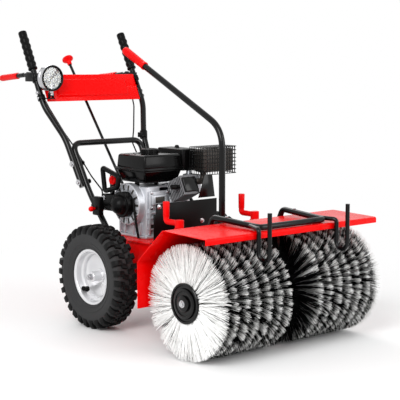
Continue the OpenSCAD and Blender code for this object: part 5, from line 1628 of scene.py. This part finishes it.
@dataclass
class Engine:
    """Petrol engine: crankcase, cylinder, tank, muffler in its guard, recoil starter and intake."""

    shop: Shop
    wire: float = 0.0016
    fan_ribs: int = 14
    fins: int = 10
    fin_pitch: float = 0.0096
    fin_thick: float = 0.0034
    fin_half: float = 0.041
    cylinder_x: float = 0.065
    cylinder_lean: float = 65.0

    def build(self) -> None:
        """Dress the engine's castings and make its moulded, turned and wire pieces."""
        self.shop.dress(
            ("crankcase", CAST_ALLOY, 0.004, 3), ("muffler", MUFFLER_STEEL, 0.006, 3),
            ("air_cleaner", BLACK_PLASTIC, 0.006, 3), ("carburettor", CAST_ALLOY, 0.004, 3),
            ("spark_plug", SOFT_RUBBER, 0.003, 3), ("engine_switch", RED_PLASTIC, 0.003, 3))
        self.cylinder()
        self.casting()
        self.tank()
        self.cap()
        self.muffler_guard()
        self.recoil()

    def cylinder(self) -> None:
        """Stack the cooling fins of the barrel and the head, and set the rocker cover on them."""
        crank = self.shop.middle("crankshaft")
        base = Matrix.Translation((self.cylinder_x, crank.y, crank.z))
        lean = base @ Matrix.Rotation(math.radians(self.cylinder_lean), 4, "X")
        # The barrel between the fins is dark steel: painted shade that darkens the gaps between the fins.
        barrel = Bench.rod("barrel", Z_AXIS * 0.100, Z_AXIS * 0.190, 0.031, 40)
        parts = [Bench.paint(barrel, MUFFLER_STEEL)]
        half = self.fin_half
        for k in range(self.fins):
            z = 0.1010 + k * self.fin_pitch
            fin = Bench.block("fin", (-half, -half, z), (half, half, z + self.fin_thick), 0.0009, 1)
            parts.append(Bench.paint(fin, FIN_ALLOY))
        rocker = Bench.block("rocker", (-0.035, -0.031, 0.189), (0.035, 0.031, 0.1998), 0.004, 3)
        parts.append(Bench.paint(rocker, BLACK_PAINT))
        for x in (-0.030, 0.030):
            for y in (-0.030, 0.030):
                stud = Bench.rod("stud", Vector((x, y, 0.100)), Vector((x, y, 0.190)), 0.004, 20)
                parts.append(Bench.paint(stud, MUFFLER_STEEL))
        for part in parts:
            part.data.transform(lean)
        self.shop.stand_in(Bench.join("finned_cylinder", parts), FIN_ALLOY, "cylinder_block")

    def casting(self) -> None:
        """Add the ribs, cover bolts and the breather hose that break up the crankcase, and thin dark plates of
        painted shade in the slots between the fan ribs and on the pockets of the front.
        """
        crank = self.shop.middle("crankshaft")
        hub = Vector((-0.125, crank.y, crank.z))
        rib = Bench.block("rib", hub + Vector((-0.0022, -0.0022, -0.081)), hub + Vector((0.0005, 0.0022, -0.054)),
                          0.0007)
        ribs = Bench.around(rib, self.fan_ribs, hub, X_AXIS)
        front = crank.y - 0.092
        ribs.append(Bench.block("cover", (-0.086, front - 0.014, 0.455), (0.012, front + 0.001, 0.528), 0.006, 3))
        ribs.append(Bench.block("step", (-0.078, front - 0.022, 0.472), (-0.004, front - 0.012, 0.514), 0.005, 3))
        for z in (0.372, 0.394, 0.416, 0.438):
            ribs.append(Bench.block("fin", (-0.092, front - 0.009, z), (0.020, front + 0.001, z + 0.006), 0.0014))
        for x in (-0.088, -0.040, 0.010):
            ribs.append(Bench.block("web", (x, front - 0.011, 0.352), (x + 0.008, front + 0.001, 0.458), 0.0016))
        for y in (0.030, 0.075, 0.130, 0.165):
            ribs.append(Bench.block("side", (-0.105, y, 0.350), (-0.094, y + 0.008, 0.400), 0.0016))
        self.shop.fit(Bench.join("casting_ribs", ribs), CAST_ALLOY, "chassis")
        bolts = []
        for x, z in ((-0.079, 0.521), (0.005, 0.521), (-0.079, 0.462), (0.005, 0.462)):
            bolts.append(self.shop.bolt(Vector((x, front - 0.014, z)), -Y_AXIS, 0.0052, 0.005, 0.0068))
        for k in range(6):
            turn = math.tau * (k + 0.5) / 6
            at = hub + Vector((0.0, 0.0775 * math.cos(turn), 0.0775 * math.sin(turn)))
            bolts.append(self.shop.bolt(at, -X_AXIS, 0.0050, 0.0046, 0.0064))
        for z in (0.491, 0.447):
            bolts.append(self.shop.bolt(Vector((-0.1525, 0.213, z)), -X_AXIS, 0.0075, 0.005, 0.0092))
        self.shop.fit(Bench.join("casting_bolts", bolts), STEEL, "chassis")
        # Thin dark plates in the slots between the fan ribs and on the pockets of the front: painted shade, standing
        # for the shade in these openings and recesses.
        slot = Bench.block("slot", hub + Vector((-0.0008, -0.0045, -0.079)),
                           hub + Vector((0.0005, 0.0045, -0.056)), 0.0003)
        dark = Bench.around(slot, self.fan_ribs, hub, X_AXIS, math.pi / self.fan_ribs)
        dark += [Bench.block("pocket", (-0.066, front - 0.0225, 0.480), (-0.016, front - 0.018, 0.506), 0.002),
                 Bench.block("pocket", (-0.080, front - 0.003, 0.377), (-0.042, front + 0.0005, 0.393), 0.0005),
                 Bench.block("pocket", (-0.030, front - 0.003, 0.400), (0.008, front + 0.0005, 0.415), 0.0005)]
        self.shop.fit(Bench.join("casting_pockets", dark), MUFFLER_STEEL, "chassis")
        hose = [Vector((-0.128, 0.050, 0.500)), Vector((-0.131, 0.040, 0.455)), Vector((-0.131, 0.028, 0.395)),
                Vector((-0.127, 0.018, 0.342))]
        self.shop.fit(Bench.tube("breather_hose", rounded_path(hose, 0.014, 6), 0.0052), SOFT_RUBBER, "chassis")

    def tank(self) -> None:
        """Mould the fuel tank: a lower and an upper shell with a flange at the seam, and the neck."""
        low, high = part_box("fuel_tank")
        flange, draft, ridge_in = 0.005, 0.016, 0.003
        body_low, top = 0.560, 0.673
        seam = body_low + 0.45 * (top - body_low)
        a = Vector((low.x + flange, low.y + flange, 0.0))
        b = Vector((high.x - flange, high.y - flange, 0.0))
        wide, long = b.x - a.x, b.y - a.y
        upper = Bench.block("upper", (a.x, a.y, seam + 0.003), (b.x, b.y, top), 0.011, 5, (0.955, 0.945))
        lower = Bench.block("lower", (a.x + draft, a.y + draft, body_low), (b.x - draft, b.y - draft, seam + 0.001),
                            0.009, 4, (wide / (wide - 2 * draft), long / (long - 2 * draft)))
        rim = Bench.block("rim", (low.x, low.y, seam - 0.001), (high.x, high.y, seam + 0.0055), 0.0024, 3)
        ridge = Bench.block("ridge", (low.x + ridge_in, low.y + ridge_in, seam + 0.004),
                            (high.x - ridge_in, high.y - ridge_in, seam + 0.010), 0.0024, 3, (0.985, 0.985))
        cap = self.shop.middle("fuel_cap")
        section = [(0.0, top - 0.004), (0.034, top - 0.004), (0.033, top + 0.0001), (0.0275, top + 0.0001),
                   (0.0275, top + 0.0078), (0.0, top + 0.0078)]
        parts = [upper, lower, rim, ridge, Bench.turned("neck", section, Vector((cap.x, cap.y, 0.0)), Z_AXIS, 40)]
        for share in (0.25, 0.75):
            at = Vector((a.x + wide * share, self.shop.middle("crankshaft").y, low.z))
            parts.append(Bench.rod("foot", at, Vector((at.x, at.y, body_low + 0.002)), 0.010, 24))
        self.shop.stand_in(Bench.join("moulded_tank", parts), GLOSS_PLASTIC, "fuel_tank")

    def cap(self) -> None:
        """Turn the fuel cap and set its grip ribs around it."""
        low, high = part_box("fuel_cap")
        middle = (low + high) / 2
        r, h = (high.x - low.x) / 2, high.z - low.z
        base = Vector((middle.x, middle.y, low.z))
        profile = [(0.0284, 0.0), (0.965 * r, 0.0), (0.975 * r, 0.002), (0.955 * r, 0.0045), (0.955 * r, 0.80 * h),
                   (0.93 * r, 0.93 * h), (0.86 * r, h), (0.60 * r, h), (0.56 * r, 0.93 * h), (0.0, 0.92 * h),
                   (0.0, 0.42 * h), (0.0284, 0.42 * h)]
        body = Bench.turned("body", profile, base, Z_AXIS, 60)
        rib = Bench.block("rib", (base.x + 0.93 * r, base.y - 0.0016, low.z + 0.004),
                          (base.x + 0.998 * r, base.y + 0.0016, low.z + 0.84 * h), 0.0008)
        ribs = Bench.around(rib, 30, base, Z_AXIS)
        self.shop.stand_in(Bench.join("ribbed_cap", [body, *ribs]), BLACK_PLASTIC, "fuel_cap")

    def muffler_guard(self) -> None:
        """Weld the guard's wire grid and hang the heat shield under it."""
        low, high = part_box("muffler_guard")
        left, base_z = 0.124, 0.586
        rows, front_bars, end_bars = 8, 14, 8
        parts = []
        zs = np.linspace(base_z + self.wire, high.z - self.wire, rows)
        xs = np.linspace(left + self.wire, high.x - self.wire, front_bars)
        ys = np.linspace(low.y + self.wire, high.y - self.wire, end_bars)
        front, back = low.y + self.wire, high.y - self.wire
        for z in zs:
            loop = [Vector((x, y, z)) for x, y in ((xs[0], back), (xs[0], front), (xs[-1], front), (xs[-1], back))]
            parts.append(Bench.tube("hoop", rounded_path(loop, 0.012, 4), self.wire, 2))
        for x in xs[1:-1]:
            bar = [Vector((x, front, zs[0])), Vector((x, front, zs[-1])), Vector((x, back, zs[-1]))]
            parts.append(Bench.tube("bar", rounded_path(bar, 0.010, 4), self.wire, 2))
        for x in (xs[0], xs[-1]):
            for y in ys[1:]:
                parts.append(Bench.tube("post", [Vector((x, y, zs[0])), Vector((x, y, zs[-1]))], self.wire, 2))
        for y in ys[1:]:
            rail = [Vector((xs[0], y, zs[-1])), Vector((xs[-1], y, zs[-1]))]
            parts.append(Bench.tube("rail", rail, self.wire, 2))
        outline = [(0.124, 0.590), (0.164, 0.590), (0.179, low.z), (0.089, low.z)]
        points = [Vector((x, low.y, z)) for x, z in outline]
        points += [p + Y_AXIS * 0.002 for p in points]
        faces = [[0, 1, 2, 3], [7, 6, 5, 4], [0, 4, 5, 1], [1, 5, 6, 2], [2, 6, 7, 3], [3, 7, 4, 0]]
        plate = Bench.outward(Bench.from_points("shield", points, [], faces))
        parts.append(Bench.smooth(Bench.bevel(plate, 0.0006)))
        self.shop.stand_in(Bench.join("wire_guard", parts), BLACK_PAINT, "muffler_guard")

    def recoil(self) -> None:
        """Dress the recoil cover and mould the pull handle's loop and the neck beside it."""
        self.shop.edged("recoil_cover", BLACK_PLASTIC, 0.003, 3)
        low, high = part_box("recoil_handle")
        thick = (high.x - low.x) / 2
        middle = Vector(((low.x + high.x) / 2, 0.1770, 0.566))
        outline = ((0.0461, 0.0480), (0.0312, -0.0480), (-0.0547, -0.0259), (-0.0634, 0.0182))
        corners = [middle + Vector((0.0, y, z)) for y, z in outline]
        start = (corners[0] + corners[-1]) / 2
        path = rounded_path([start, *corners, start], 0.014, 8)[:-1]
        loop = Bench.tube("pull_loop", path, thick - 0.0005, 8, True)
        self.shop.stand_in(loop, BLACK_PLASTIC, "recoil_handle")
        neck = Bench.block("recoil_neck", (-0.158, 0.062, 0.500), (-0.128, 0.104, 0.526), 0.006, 3, (0.8, 0.72))
        self.shop.fit(neck, BLACK_PLASTIC, "chassis")


def main() -> None:
    """Build every sub-assembly in order."""
    logging.basicConfig(level=logging.INFO, format="%(name)s: %(message)s")
    shop = Shop()
    Studio().build()
    for make in (Handles, BrushRotor, Hood, Wheels, Chassis, Engine, Controls, Headlight):
        LOG.info("building %s", make.__name__)
        make(shop).build()


if __name__ == "__main__":
    main()
